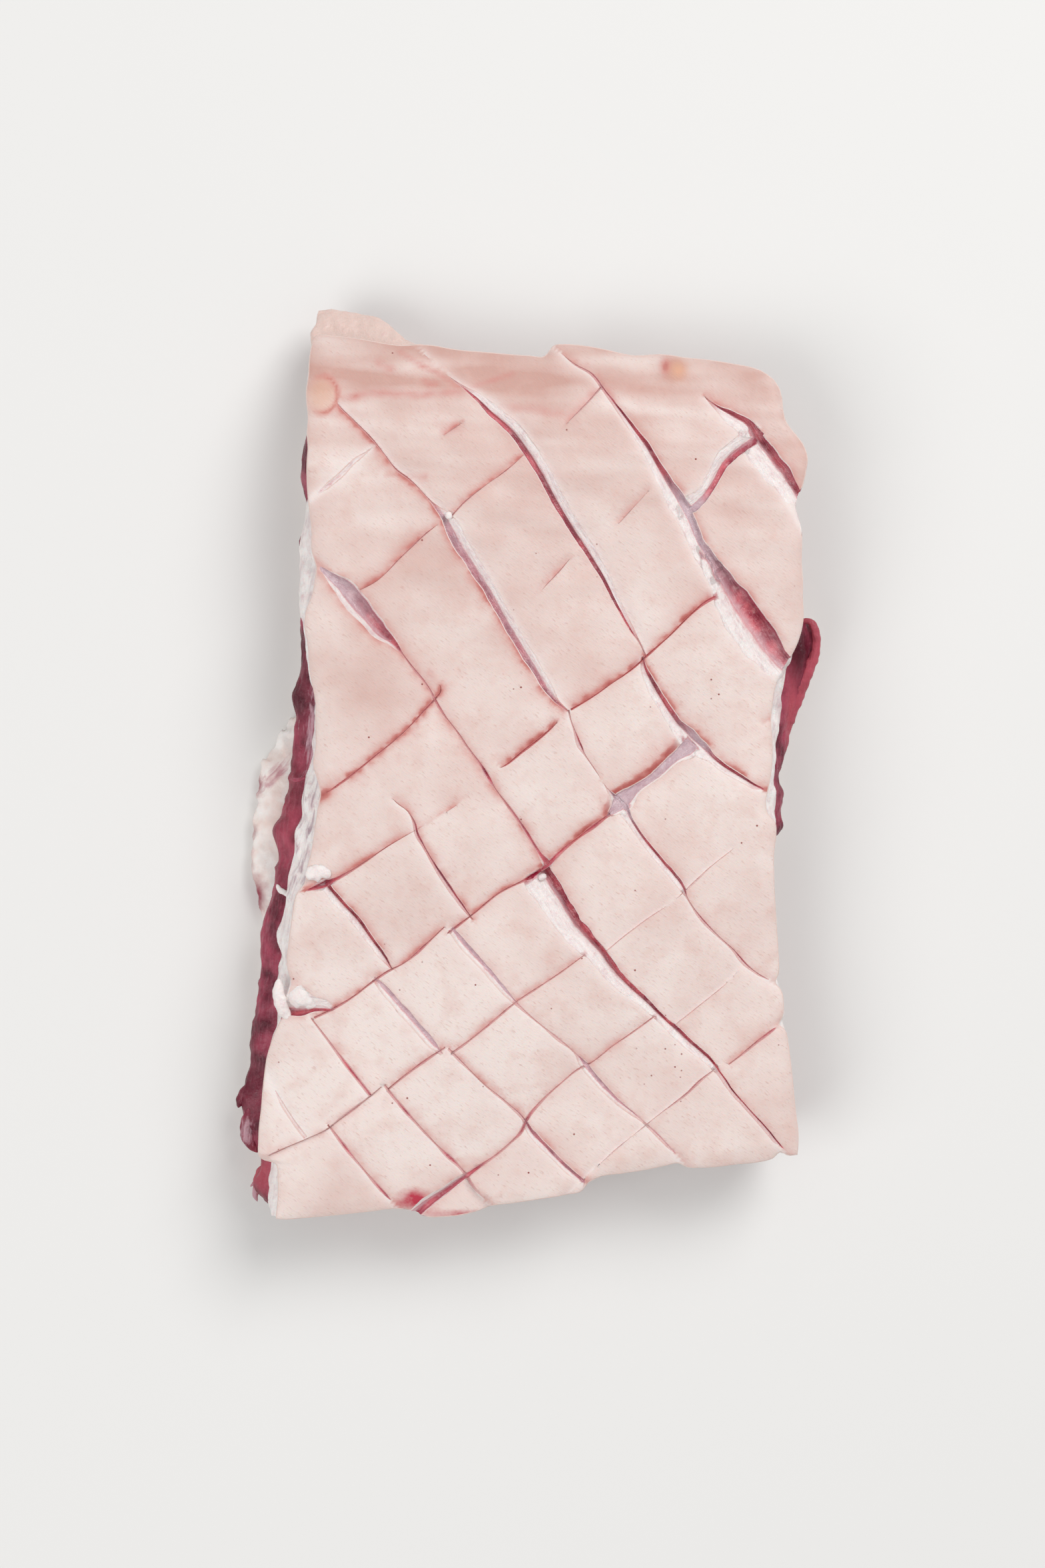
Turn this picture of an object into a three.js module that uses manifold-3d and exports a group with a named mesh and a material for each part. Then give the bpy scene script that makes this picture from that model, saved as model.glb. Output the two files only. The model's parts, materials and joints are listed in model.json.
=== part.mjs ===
// A slab of raw pork belly, skin side up. Three layers lie on each other and hold together:
// the rind with its back fat, scored into diamonds by two sets of knife strokes, the lean under it,
// and the inner fat that the slab lies on. Millimetres, +Z up, +X across the slab, +Y along it.
// The origin is on the underside, below the middle of the slab's box.
import * as THREE from "three";
import Module from "manifold-3d";

// Driving dimensions
const SLAB_HEIGHT = 36.5; // rind over the middle of the slab
const HALF_LENGTH = 144.3;
const THIN_END_DROP = 5.5; // how much lower the rind is at the end with y < 0
const THIN_END_START = -10;
const SHOULDER_DROP = 15; // the slab rounds down this far at the end with y > 0
const SHOULDER_START = 88;
const EDGE_ROLL_WIDTH = 9; // the rind's long edges sag over this width
const EDGE_ROLL_DROP = 1.2;
const WAVE_HEIGHT = 0.6; // slow waves in the rind
const WAVES = [
  { length: 54, direction: 22, start: 0 },
  { length: 67, direction: 126, start: 60 },
]; // each wave's length, the direction it runs in and where it starts, in degrees
const LEAN_TOP_SHARE = 0.62; // the lean starts this far up the slab
const INNER_FAT_SHARE = 0.28; // and the inner fat ends here
const LAYER_GAP = 0.5; // clearance between two layers
const REACH_SAG = 0.45; // drop of a layer that reaches out from under its neighbour, of its reach
const LARGEST_SAG = 4;
const LEAN_BULGE = 1.2; // how far the cut face of the lean stands out at half its height
const HAIRLINE_GAP = 0.8; // narrowest groove of a stroke that has closed again
const STROKE_DEPTH = 2; // depth of a closed stroke
const DEPTH_PER_GAP = 2.4; // a stroke that gapes was cut deeper
const WEB = 1.8; // fat left under the deepest strokes
const BLADE_CLEARANCE = 2; // the cutting wedge starts this far above the rind
const FLOOR_SHARE = 0.3; // width of a groove's floor, of its gap at the rind

// Cells of each layer's sheets, [across, along]
const RIND_CELLS = [20, 32];
const LEAN_CELLS = [16, 28];
const INNER_FAT_CELLS = [14, 24];

// Colours
const RIND_PINK = 0xe9d2cb;
const LEAN_RED = 0x7c3845;
const INNER_FAT_CREAM = 0xdccdc8;

// Each layer's outline, as its four sides: left and right run towards +Y, and the ends towards +X.
const RIND_SIDES = {
  left: [
    [-82, -144.3], [-84.6, -124], [-83.6, -100], [-79.5, -83], [-75.6, -57], [-70.5, -35],
    [-66.4, -12], [-67.2, 12], [-69.2, 35], [-71, 52], [-69, 72], [-69.8, 104], [-69, 135], [-66.7, 144.3],
  ],
  right: [
    [85.2, -123.6], [83.8, -102], [80, -76], [78.7, -60], [77.3, -33], [78.2, -18], [76.2, -8], [78.2, 12],
    [80.4, 28], [85, 38], [86.4, 55], [84.2, 80], [87.8, 96], [83.3, 105], [80.2, 114], [77.5, 122],
  ],
  endLow: [
    [-82, -144.3], [-58, -142.3], [-34, -142.6], [-12, -139.8], [18, -133], [45, -127.8], [70, -126.1],
    [85.2, -123.6],
  ],
  endHigh: [
    [-66.7, 144.3], [-48, 142], [-37, 134.8], [-14, 131.3], [6, 131.2], [12, 133.4], [33, 129.8], [60, 127.9],
    [77.5, 122],
  ],
};
const LEAN_SIDES = {
  left: [
    [-84, -140], [-87.6, -133], [-86, -124], [-91.8, -108], [-87.6, -94], [-85.4, -74], [-83.4, -50],
    [-79.2, -30], [-76.2, -6], [-73.4, 19], [-72, 42], [-73, 66], [-70.6, 82], [-73, 95], [-69.5, 110],
    [-64.5, 139],
  ],
  right: [
    [81, -120], [79.4, -102], [76, -76], [74, -40], [78.6, -20], [80, -6], [84.6, 16], [90.5, 32], [90.3, 43],
    [85.6, 49], [83, 60], [80, 80], [82, 96], [74, 118],
  ],
  endLow: [[-84, -140], [-58, -138.4], [-34, -138.8], [-12, -136], [18, -129], [45, -124], [81, -120]],
  endHigh: [
    [-64.5, 139], [-48, 137.6], [-37, 130.6], [-14, 127], [12, 129], [33, 125.6], [60, 123.6], [74, 118],
  ],
};
const INNER_FAT_SIDES = {
  left: [
    [-78, -136], [-80.5, -112], [-79.5, -80], [-80, -52], [-85.6, -38], [-87, -24], [-85.8, -12], [-83, 2],
    [-77, 11], [-69.5, 22], [-67, 50], [-66.5, 104], [-61, 134],
  ],
  right: [
    [77.5, -117], [76, -98], [72, -70], [70.5, -30], [70, 0], [77, 30], [79, 55], [76, 84], [77, 97], [70, 114],
  ],
  endLow: [[-78, -136], [-34, -135], [-12, -132], [18, -125], [45, -120], [77.5, -117]],
  endHigh: [
    [-61, 134], [-46, 132.5], [-35, 126], [-14, 122.6], [12, 124.6], [33, 121.5], [60, 119], [70, 114],
  ],
};

// Knife strokes as [x, y, gap at the rind]. The falling ones run down to the right, the rising
// ones down to the left. Where the rind didn't part, a stroke stops and starts again.
const FALLING_STROKES = [
  [[49, 128.5, 0], [60, 112.6, 1], [66, 110, 3.5], [75, 102.5, 4.5], [88, 83, 3.5]],
  [
    [9, 134, 0.6], [24, 119.8, 1.2], [43.4, 92.7, 3], [50, 80, 4], [53.4, 68.5, 6], [63, 54, 8.5], [70, 41, 10],
    [84, 26, 6],
  ],
  [
    [-36, 132, 0], [-23.7, 121.8, 0.8], [-17, 118, 2.5], [1.5, 97.5, 4], [17.5, 70, 3.8], [30, 46.5, 2],
    [36.7, 34.5, 1],
  ],
  [[36.7, 34.5, 1], [40.5, 24.5, 2], [53, 7, 6], [62, -1, 3.5], [81, -11, 2.5]],
  [
    [-60.8, 114.7, 0], [-37.9, 90.2, 0.6], [-24.7, 76.6, 1.6], [-17, 61.5, 3.5], [3.5, 29.5, 3], [13, 16, 1],
    [20.4, -0.8, 0.6], [29, -12.5, 5], [35, -22.5, 3], [48.5, -41, 2.4], [68, -63, 1], [81, -71, 1.2],
  ],
  [
    [-74, 66, 1.5], [-57, 56, 6], [-47.5, 43, 4.5], [-36, 29.5, 1], [-12.5, -4.5, 0.8], [1, -25, 1],
    [4.5, -36, 7], [16, -53, 5.5], [27.5, -66.5, 3.5], [58.5, -95.5, 3], [66, -105.5, 1.6], [86, -129, 2],
  ],
  [[-43.5, -10.5, 0], [-36, -20, 1], [-20, -49, 1.8]],
  [
    [-23.8, -53.8, 2.8], [-4, -75, 2], [7.7, -85.6, 1.2], [27.5, -106.3, 2.6], [37.2, -114.2, 1.5],
    [52, -131, 1.5],
  ],
  [[-62.7, -38.3, 1.5], [-44.5, -63.5, 1.5]],
  [[-48.8, -68.7, 2.6], [-28.5, -90.5, 2], [-14.4, -101, 0.8], [-0.8, -114, 2], [20, -136, 1.8]],
  [[-78, -66.5, 1], [-62.7, -77, 1.5]],
  [[-68.6, -80.5, 0.8], [-46, -103.5, 1.2], [-20, -130.3, 1], [-9, -145, 1.2]],
  [[-88, -94, 1], [-66, -116.5, 1.5], [-40, -145, 1]],
];
const RISING_STROKES = [
  [[-16, 110.5, 0], [-27.1, 103.6, 0.5]],
  [[-48.3, 101.3, 0], [-59.6, 91.2, 2], [-73, 81, 2]],
  [[23.5, 119.5, 0.6], [6, 102, 0]],
  [[0, 97, 0.6], [-24.7, 77, 0.9], [-52.5, 55.5, 1]],
  [[73, 105, 4], [60, 91, 4.5], [50, 80, 5]],
  [[43, 88, 0.3], [19, 69, 0], [-3, 47, 0]],
  [[-28, 24, 0.6], [-49.9, 2.6, 0.9], [-71, -13, 1.2]],
  [[57, 51, 1], [37, 33.5, 1], [2.6, 7.4, 1], [-36, -20.5, 0.6], [-73, -42, 1.5]],
  [
    [55, 7.5, 3.5], [29, -12, 4], [15, -23.7, 1.4], [6, -32, 2], [-8.2, -40.5, 1], [-48.8, -68.7, 1],
    [-84, -84, 1.2],
  ],
  [[66.1, -25.3, 0], [48.5, -41, 1], [21, -59, 1.2], [-26, -90.8, 1], [-63.3, -115, 0.8], [-89, -127, 1]],
  [[68, -63.8, 0], [43, -81, 0.9], [17, -95.8, 1.4], [-1, -114, 1.4], [-19.4, -130.3, 3], [-38, -144.5, 4.5]],
  [[84, -80, 1.4], [59, -97, 0.9], [47, -106.3, 1.2], [16, -133, 0.6]],
];

// Height of the rind above the underside: a slab that is thinner at one end, rounds down like a
// shoulder at the other, and rises and falls a little in between.
function rindHeight(x, y) {
  const { degToRad, smoothstep } = THREE.MathUtils;
  const thinner = THIN_END_DROP * smoothstep(-y, -THIN_END_START, HALF_LENGTH);
  const shoulder = Math.max(0, y - SHOULDER_START) / (HALF_LENGTH - SHOULDER_START);
  let height = SLAB_HEIGHT - thinner - SHOULDER_DROP * shoulder ** 2;
  for (const { length, direction, start } of WAVES) {
    const way = x * Math.cos(degToRad(direction)) + y * Math.sin(degToRad(direction));
    height += WAVE_HEIGHT * Math.sin((2 * Math.PI * way) / length + degToRad(start));
  }
  return height;
}

// A side as a smooth curve through its points
function sideCurve(points) {
  return new THREE.SplineCurve(points.map(([x, y]) => new THREE.Vector2(x, y)));
}

// Fills an outline of four sides: points between the two long sides, plus points between the two
// ends, less the points between the four corners (a Coons patch).
function outlinePatch(sides, [nx, ny]) {
  const left = sideCurve(sides.left).getSpacedPoints(ny);
  const right = sideCurve(sides.right).getSpacedPoints(ny);
  const low = sideCurve(sides.endLow).getSpacedPoints(nx);
  const high = sideCurve(sides.endHigh).getSpacedPoints(nx);
  const rows = [];
  for (let j = 0; j <= ny; j++) {
    const along = j / ny;
    rows.push([]);
    for (let i = 0; i <= nx; i++) {
      const across = i / nx;
      const point = left[j].clone().lerp(right[j], across);
      point.add(low[i].clone().lerp(high[i], along));
      const corners = low[0].clone().lerp(low[nx], across);
      corners.lerp(high[0].clone().lerp(high[nx], across), along);
      rows[j].push(point.sub(corners));
    }
  }
  return rows;
}

// One closed layer over an outline: a top sheet, an underside, and a wall with one row of points
// between them that stands out by bulge. top and under give heights at (x, y) and at a distance in
// from the nearest side.
function layerGeometry(sides, cells, top, under, bulge) {
  const [nx, ny] = cells;
  const rows = outlinePatch(sides, cells);
  const width = rows[0][0].distanceTo(rows[0][nx]);
  const length = rows[0][0].distanceTo(rows[ny][0]);
  const positions = [];
  const faces = [];
  const across = nx + 1;
  const sheet = across * (ny + 1);
  for (const height of [under, top]) {
    rows.forEach((row, j) =>
      row.forEach((point, i) => {
        const fromSide = (Math.min(i, nx - i) / nx) * width;
        const fromEnd = (Math.min(j, ny - j) / ny) * length;
        positions.push(point.x, point.y, height(point.x, point.y, Math.min(fromSide, fromEnd)));
      }),
    );
  }
  const quad = (a, b, c, d) => faces.push(a, b, c, a, c, d);
  for (let j = 0; j < ny; j++) {
    for (let i = 0; i < nx; i++) {
      const a = j * across + i;
      quad(a, a + across, a + across + 1, a + 1);
      quad(sheet + a, sheet + a + 1, sheet + a + across + 1, sheet + a + across);
    }
  }
  // Once round the edge, anticlockwise from above
  const rim = [];
  for (let i = 0; i < nx; i++) rim.push(i);
  for (let j = 0; j < ny; j++) rim.push(j * across + nx);
  for (let i = nx; i > 0; i--) rim.push(ny * across + i);
  for (let j = ny; j > 0; j--) rim.push(j * across);
  const middle = positions.length / 3;
  rim.forEach((index, k) => {
    const before = rim[(k + rim.length - 1) % rim.length];
    const after = rim[(k + 1) % rim.length];
    const dx = positions[3 * after] - positions[3 * before];
    const dy = positions[3 * after + 1] - positions[3 * before + 1];
    const run = Math.hypot(dx, dy);
    positions.push(
      positions[3 * index] + (bulge * dy) / run,
      positions[3 * index + 1] - (bulge * dx) / run,
      (positions[3 * index + 2] + positions[3 * (sheet + index) + 2]) / 2,
    );
  });
  rim.forEach((index, k) => {
    const next = (k + 1) % rim.length;
    quad(index, rim[next], middle + next, middle + k);
    quad(middle + k, middle + next, sheet + rim[next], sheet + index);
  });
  const geometry = new THREE.BufferGeometry();
  geometry.setAttribute("position", new THREE.Float32BufferAttribute(positions, 3));
  geometry.setIndex(faces);
  return geometry;
}

// The wedge that one knife stroke takes out: at each point four corners, two above the rind and
// two at the groove's floor, joined along the stroke and closed at both ends.
function bladeGeometry(stroke) {
  const positions = [];
  stroke.forEach(([x, y, gap], k) => {
    const [bx, by] = stroke[Math.max(0, k - 1)];
    const [ax, ay] = stroke[Math.min(stroke.length - 1, k + 1)];
    const run = Math.hypot(ax - bx, ay - by);
    const [nx, ny] = [(by - ay) / run, (ax - bx) / run];
    const surface = rindHeight(x, y);
    const fatDepth = surface * (1 - LEAN_TOP_SHARE) - LAYER_GAP / 2;
    const depth = Math.min(STROKE_DEPTH + DEPTH_PER_GAP * gap, fatDepth - WEB - EDGE_ROLL_DROP);
    const half = Math.max(gap, HAIRLINE_GAP) / 2;
    const halfAbove = half * (1 + BLADE_CLEARANCE / depth);
    const halfFloor = half * FLOOR_SHARE;
    const corner = (side, z) => positions.push(x + side * nx, y + side * ny, z);
    corner(-halfAbove, surface + BLADE_CLEARANCE);
    corner(-halfFloor, surface - depth);
    corner(halfFloor, surface - depth);
    corner(halfAbove, surface + BLADE_CLEARANCE);
  });
  const faces = [];
  for (let k = 0; k + 1 < stroke.length; k++) {
    for (let side = 0; side < 4; side++) {
      const a = 4 * k + side;
      const b = 4 * k + ((side + 1) % 4);
      faces.push(a, b, b + 4, a, b + 4, a + 4);
    }
  }
  const last = positions.length / 3 - 4;
  faces.push(0, 2, 1, 0, 3, 2, last, last + 1, last + 2, last, last + 2, last + 3);
  const geometry = new THREE.BufferGeometry();
  geometry.setAttribute("position", new THREE.Float32BufferAttribute(positions, 3));
  geometry.setIndex(faces);
  return geometry;
}

const wasm = await Module();
wasm.setup();

function solid(geometry) {
  return new wasm.Manifold(
    new wasm.Mesh({
      numProp: 3,
      vertProperties: new Float32Array(geometry.getAttribute("position").array),
      triVerts: new Uint32Array(geometry.index.array),
    }),
  );
}

function geometryOf(manifold) {
  const mesh = manifold.getMesh();
  const geometry = new THREE.BufferGeometry();
  geometry.setAttribute("position", new THREE.BufferAttribute(new Float32Array(mesh.vertProperties), 3));
  geometry.setIndex(new THREE.BufferAttribute(new Uint32Array(mesh.triVerts), 1));
  return geometry;
}

// Takes every stroke's wedge out, and drops the slivers that come loose where two strokes meet.
function scored(geometry, strokes) {
  let scoredSolid = solid(geometry);
  for (const stroke of strokes) scoredSolid = scoredSolid.subtract(solid(bladeGeometry(stroke)));
  const bodies = scoredSolid.decompose().sort((a, b) => b.volume() - a.volume());
  return geometryOf(bodies[0]);
}

// How far the rind's edge sags, at a distance in from the side
function edgeRoll(inset) {
  return EDGE_ROLL_DROP * Math.max(0, 1 - inset / EDGE_ROLL_WIDTH) ** 2;
}

// Gives a function that says how far the top of a layer drops at (x, y), where it lies outside the
// outline of the layer above it.
function sagBeyond(sides, cells) {
  const rows = outlinePatch(sides, cells);
  const rim = [...rows[0], ...rows.map((row) => row.at(-1)), ...rows.at(-1).toReversed()];
  rim.push(...rows.map((row) => row[0]).reverse());
  return (x, y) => {
    const point = new THREE.Vector3(x, y, 0);
    const nearest = new THREE.Vector3();
    let inside = false;
    let reach = Infinity;
    rim.forEach((from, k) => {
      const to = rim[(k + 1) % rim.length];
      const edge = new THREE.Line3(new THREE.Vector3(from.x, from.y, 0), new THREE.Vector3(to.x, to.y, 0));
      edge.closestPointToPoint(point, true, nearest);
      reach = Math.min(reach, nearest.distanceTo(point));
      const crosses = from.y > y !== to.y > y;
      if (crosses && x < from.x + ((y - from.y) * (to.x - from.x)) / (to.y - from.y)) inside = !inside;
    });
    return inside ? 0 : Math.min(REACH_SAG * reach, LARGEST_SAG);
  };
}

function rindAndFat() {
  return scored(
    layerGeometry(
      RIND_SIDES,
      RIND_CELLS,
      (x, y, inset) => rindHeight(x, y) - edgeRoll(inset),
      (x, y) => rindHeight(x, y) * LEAN_TOP_SHARE + LAYER_GAP / 2,
      0,
    ),
    [...FALLING_STROKES, ...RISING_STROKES],
  );
}

function leanLayer() {
  const sag = sagBeyond(RIND_SIDES, RIND_CELLS);
  return layerGeometry(
    LEAN_SIDES,
    LEAN_CELLS,
    (x, y) => rindHeight(x, y) * LEAN_TOP_SHARE - LAYER_GAP / 2 - sag(x, y),
    (x, y) => rindHeight(x, y) * INNER_FAT_SHARE + LAYER_GAP / 2,
    LEAN_BULGE,
  );
}

function innerFat() {
  const sag = sagBeyond(LEAN_SIDES, LEAN_CELLS);
  return layerGeometry(
    INNER_FAT_SIDES,
    INNER_FAT_CELLS,
    (x, y) => rindHeight(x, y) * INNER_FAT_SHARE - LAYER_GAP / 2 - sag(x, y),
    () => 0,
    0,
  );
}

const slab = new THREE.Group();
for (const [name, geometry, color, roughness] of [
  ["rind_and_fat", rindAndFat(), RIND_PINK, 0.5],
  ["lean_layer", leanLayer(), LEAN_RED, 0.3],
  ["inner_fat", innerFat(), INNER_FAT_CREAM, 0.45],
]) {
  const mesh = new THREE.Mesh(geometry, new THREE.MeshStandardMaterial({ color, roughness, metalness: 0 }));
  mesh.name = name;
  slab.add(mesh);
}

export default slab;
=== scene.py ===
# %% [markdown]
# # A scored slab of pork belly
# A butcher cuts a belly into a slab, scalds and scrapes its skin, and scores that skin into diamonds
# with two sets of knife strokes. From above it is pale skin with open cuts; from the side it is a
# stack of skin, back fat, lean and inner fat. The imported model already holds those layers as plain
# solids, so this script gives each one a finer surface in the same place and a finish of its own.

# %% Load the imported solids
import json

import bmesh
import bpy
import numpy as np
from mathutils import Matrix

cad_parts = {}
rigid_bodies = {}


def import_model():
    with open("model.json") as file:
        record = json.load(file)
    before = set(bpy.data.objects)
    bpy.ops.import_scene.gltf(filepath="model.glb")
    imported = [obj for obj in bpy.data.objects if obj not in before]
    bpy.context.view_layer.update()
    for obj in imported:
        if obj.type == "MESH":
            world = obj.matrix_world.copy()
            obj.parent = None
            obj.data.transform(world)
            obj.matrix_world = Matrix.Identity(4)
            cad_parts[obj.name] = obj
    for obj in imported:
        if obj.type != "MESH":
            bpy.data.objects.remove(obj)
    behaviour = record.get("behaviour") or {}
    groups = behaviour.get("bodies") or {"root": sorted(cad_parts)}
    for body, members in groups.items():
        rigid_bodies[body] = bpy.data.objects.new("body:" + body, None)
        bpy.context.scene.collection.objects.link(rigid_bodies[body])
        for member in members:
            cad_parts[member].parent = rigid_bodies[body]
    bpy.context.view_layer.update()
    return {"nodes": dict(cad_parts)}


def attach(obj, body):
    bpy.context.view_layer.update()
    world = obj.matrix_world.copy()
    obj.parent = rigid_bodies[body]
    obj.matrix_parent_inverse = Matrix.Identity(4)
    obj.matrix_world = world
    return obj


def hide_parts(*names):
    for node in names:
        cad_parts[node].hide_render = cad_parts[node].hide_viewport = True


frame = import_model()
MM = 0.001  # shapes are worked out in millimetres and put into meshes in metres
print("solids:", sorted(frame["nodes"]))

# %% [markdown]
# ## Camera
# The slab lies flat and is seen from straight above, so the camera hangs over it and looks down. A
# long lens far away keeps the sides of the slab from showing. The lens follows from how much of the
# skin's plane the view takes in: focal length = film * distance / height seen.

# %% Camera
CAMERA_HEIGHT = 1235.0  # mm above the floor
CAMERA_OVER = (-1.9, -6.2)  # the place that it looks down on, in mm
SKIN_PLANE = 35.0  # mm above the floor
SEEN_HEIGHT = 495.2  # mm of that plane from the top to the bottom of the view
FILM = 36  # mm high
scene = bpy.context.scene
camera = bpy.data.objects.new("camera", bpy.data.cameras.new("camera"))
scene.collection.objects.link(camera)
camera.location = (CAMERA_OVER[0] * MM, CAMERA_OVER[1] * MM, CAMERA_HEIGHT * MM)
camera.data.sensor_fit = "VERTICAL"
camera.data.sensor_height = FILM
camera.data.lens = FILM * (CAMERA_HEIGHT - SKIN_PLANE) / SEEN_HEIGHT
scene.camera = camera
print("lens", round(camera.data.lens, 1), "mm")

# %% [markdown]
# ## Colours
# A colour on a screen is written as three numbers that aren't in step with light: dark tones get more
# of the steps than bright ones. Blender reckons with light itself. So each colour here is written as
# one sees it, and one function turns it into light.


# %% Colours, from sRGB hex to linear
def linear(hex_colour, alpha=1.0):
    """Each channel c becomes c / 12.92 below 0.04045, and ((c + 0.055) / 1.055) ** 2.4 above."""
    c = np.array([int(hex_colour[i : i + 2], 16) for i in (1, 3, 5)]) / 255
    c = np.where(c <= 0.04045, c / 12.92, ((c + 0.055) / 1.055) ** 2.4)
    return (*c.tolist(), alpha)


print("white is", linear("#FFFFFF"), "and a middle grey", round(linear("#808080")[0], 3))

# %% [markdown]
# ## Floor and light
# Light for food is soft. One large panel from the far right lights the walls of the cuts, a weaker
# one opposite opens their shadows, and a white room does the rest. The floor is matt paper, much
# larger than the slab, so that no edge of it comes near.

# %% Floor and lights
FLOOR_REACH = 3  # metres from the middle
floor_mesh = bpy.data.meshes.new("floor")
floor_corners = [(x * FLOOR_REACH, y * FLOOR_REACH, 0) for x, y in ((-1, -1), (1, -1), (1, 1), (-1, 1))]
floor_mesh.from_pydata(floor_corners, [], [(0, 1, 2, 3)])
floor = bpy.data.objects.new("floor", floor_mesh)
scene.collection.objects.link(floor)
paper = bpy.data.materials.new("floor_matt_paper")
paper.use_nodes = True
paper.node_tree.nodes["Principled BSDF"].inputs["Base Color"].default_value = linear("#EFEEEC")
paper.node_tree.nodes["Principled BSDF"].inputs["Roughness"].default_value = 0.9
floor_mesh.materials.append(paper)

world = bpy.data.worlds.new("studio")
world.use_nodes = True
world.node_tree.nodes["Background"].inputs["Color"].default_value = linear("#FFFFFF")
world.node_tree.nodes["Background"].inputs["Strength"].default_value = 0.41
scene.world = world
scene.view_settings.view_transform = "Standard"


def panel_light(name, place, size, watts):
    """A square panel at place, in metres, that faces the middle of the slab."""
    light = bpy.data.lights.new(name, "AREA")
    light.size, light.energy = size, watts
    lamp = bpy.data.objects.new(name, light)
    scene.collection.objects.link(lamp)
    lamp.location = place
    lamp.rotation_mode = "QUATERNION"
    lamp.rotation_quaternion = (lamp.location * -1).to_track_quat("-Z", "Y")
    print(name, size, "m,", watts, "W")


panel_light("key_panel", (1.0, 1.2, 1.6), 1.2, 26.5)
panel_light("fill_panel", (-1.2, -0.8, 1.6), 1.5, 17.0)

# %% [markdown]
# ## Tools for shapes
# Everything soft here follows curves that were judged one by one, so one helper draws a smooth curve
# through a few points. Meat is never even either: sums of waves in scattered directions make lumps
# of a chosen size, the same ones at each run. A blush, a hollow or a swelling is a soft spot.


# %% Smooth curves, lumps and spots
def smooth_path(points, count):
    """A curve through the points: each stretch is a cubic that leaves and enters its two points along
    the slope between their neighbours. It is read at count + 1 places, evenly by length."""
    p = np.array(points, float)
    s = np.append(0, np.cumsum(np.hypot(*np.diff(p[:, :2], axis=0).T)))
    slope = np.gradient(p, s, axis=0)
    t = np.linspace(0, s[-1], 24 * len(p))  # close enough together to measure the curve's length
    k = np.clip(np.searchsorted(s, t, side="right") - 1, 0, len(p) - 2)
    h = (s[k + 1] - s[k])[:, None]
    u = (t - s[k])[:, None] / h
    curve = (1 + 2 * u) * (1 - u) ** 2 * p[k] + u * (1 - u) ** 2 * h * slope[k]
    curve += u * u * (3 - 2 * u) * p[k + 1] + u * u * (u - 1) * h * slope[k + 1]
    run = np.append(0, np.cumsum(np.hypot(*np.diff(curve[:, :2], axis=0).T)))
    even = np.linspace(0, run[-1], count + 1)
    return np.stack([np.interp(even, run, column) for column in curve.T], 1)


def leftward(path):
    """The unit normal to the left of a path, from the line between each point's neighbours."""
    run = np.gradient(path, axis=0)
    return np.stack([-run[:, 1], run[:, 0]], 1) / np.hypot(*run.T)[:, None]


def lumps(p, size, seed, waves=14):
    """The sum of plane waves with lengths near size, in scattered directions. Most of it lies between
    -1 and 1, and a few places reach 2."""
    random = np.random.default_rng(seed)
    direction = random.normal(size=(waves, p.shape[-1]))
    direction /= np.linalg.norm(direction, axis=1, keepdims=True)
    turns = direction / (size * random.uniform(0.7, 1.6, (waves, 1)))
    start = random.uniform(0, 2 * np.pi, waves)
    return np.sin(2 * np.pi * (p @ turns.T) + start).sum(-1) / np.sqrt(waves) * 0.8


def smoothstep(x, low, high):
    """0 below low, 1 above high, and 3t^2 - 2t^3 between them."""
    t = np.clip((x - low) / (high - low), 0, 1)
    return t * t * (3 - 2 * t)


def spot(x, y, cx, cy, wide, long):
    """A soft spot: exp(-(x / wide)^2 - (y / long)^2) about its middle."""
    return np.exp(-(((x - cx) / wide) ** 2 + ((y - cy) / long) ** 2))


sample = lumps(np.mgrid[0:99, 0:99].T, 9, 1)
print("lumps run from", sample.min().round(2), "to", sample.max().round(2))

# %% [markdown]
# ## How high the skin lies
# The slab is thinner at one end, rounds down like a shoulder at the other, and rises and falls a
# little in between. These are the same numbers as in the solids, so the finer surface stays on them.
# On top of that come soft folds in the skin and four teats.

# %% Height of the slab
LEAN_TOP_SHARE = 0.62  # of the slab's height: fat above it, lean below
INNER_FAT_SHARE = 0.28  # lean above it, inner fat below
FULL_HEIGHT = 36.5  # mm
THIN_END_DROP, THIN_FROM, THIN_TO = 5.5, 10, 144.3  # mm, and between which places, towards -y
SHOULDER_DROP, SHOULDER_FROM, SHOULDER_LENGTH = 15, 88, 56.3
WAVES = ((54, 22, 0), (67, 126, 60))  # length in mm, direction and start in degrees
WAVE_HEIGHT = 0.6


def slab_height(x, y):
    """Full height, less a smooth step at the thin end, less a parabola at the shoulder, plus waves."""
    height = FULL_HEIGHT - THIN_END_DROP * smoothstep(-y, THIN_FROM, THIN_TO)
    height = height - SHOULDER_DROP * (np.maximum(0, y - SHOULDER_FROM) / SHOULDER_LENGTH) ** 2
    for length, direction, start in WAVES:
        way = x * np.cos(np.radians(direction)) + y * np.sin(np.radians(direction))
        height = height + WAVE_HEIGHT * np.sin(2 * np.pi * way / length + np.radians(start))
    return height


print("the slab's height at both ends:", [round(float(slab_height(0, y)), 1) for y in (-140, 130)], "mm")


# %% [markdown]
# ### Folds and teats
# Skin that was stretched over a live animal slackens into shallow folds across it, most of all near
# the shoulder. A sine gives the folds and a slow wander bends them. Each teat is a round bump.

# %% Height of the skin
TEATS = [(-65.5, 117, 4.2, 0.8), (46, 125.3, 2.6, 1.2), (-50, 73.5, 1.2, 0.4), (-37, 97, 1.1, 0.35)]
FOLD_SPACING, FOLD_WANDER, FOLD_HEIGHT = 13.5, 4.5, 0.3  # mm


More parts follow.
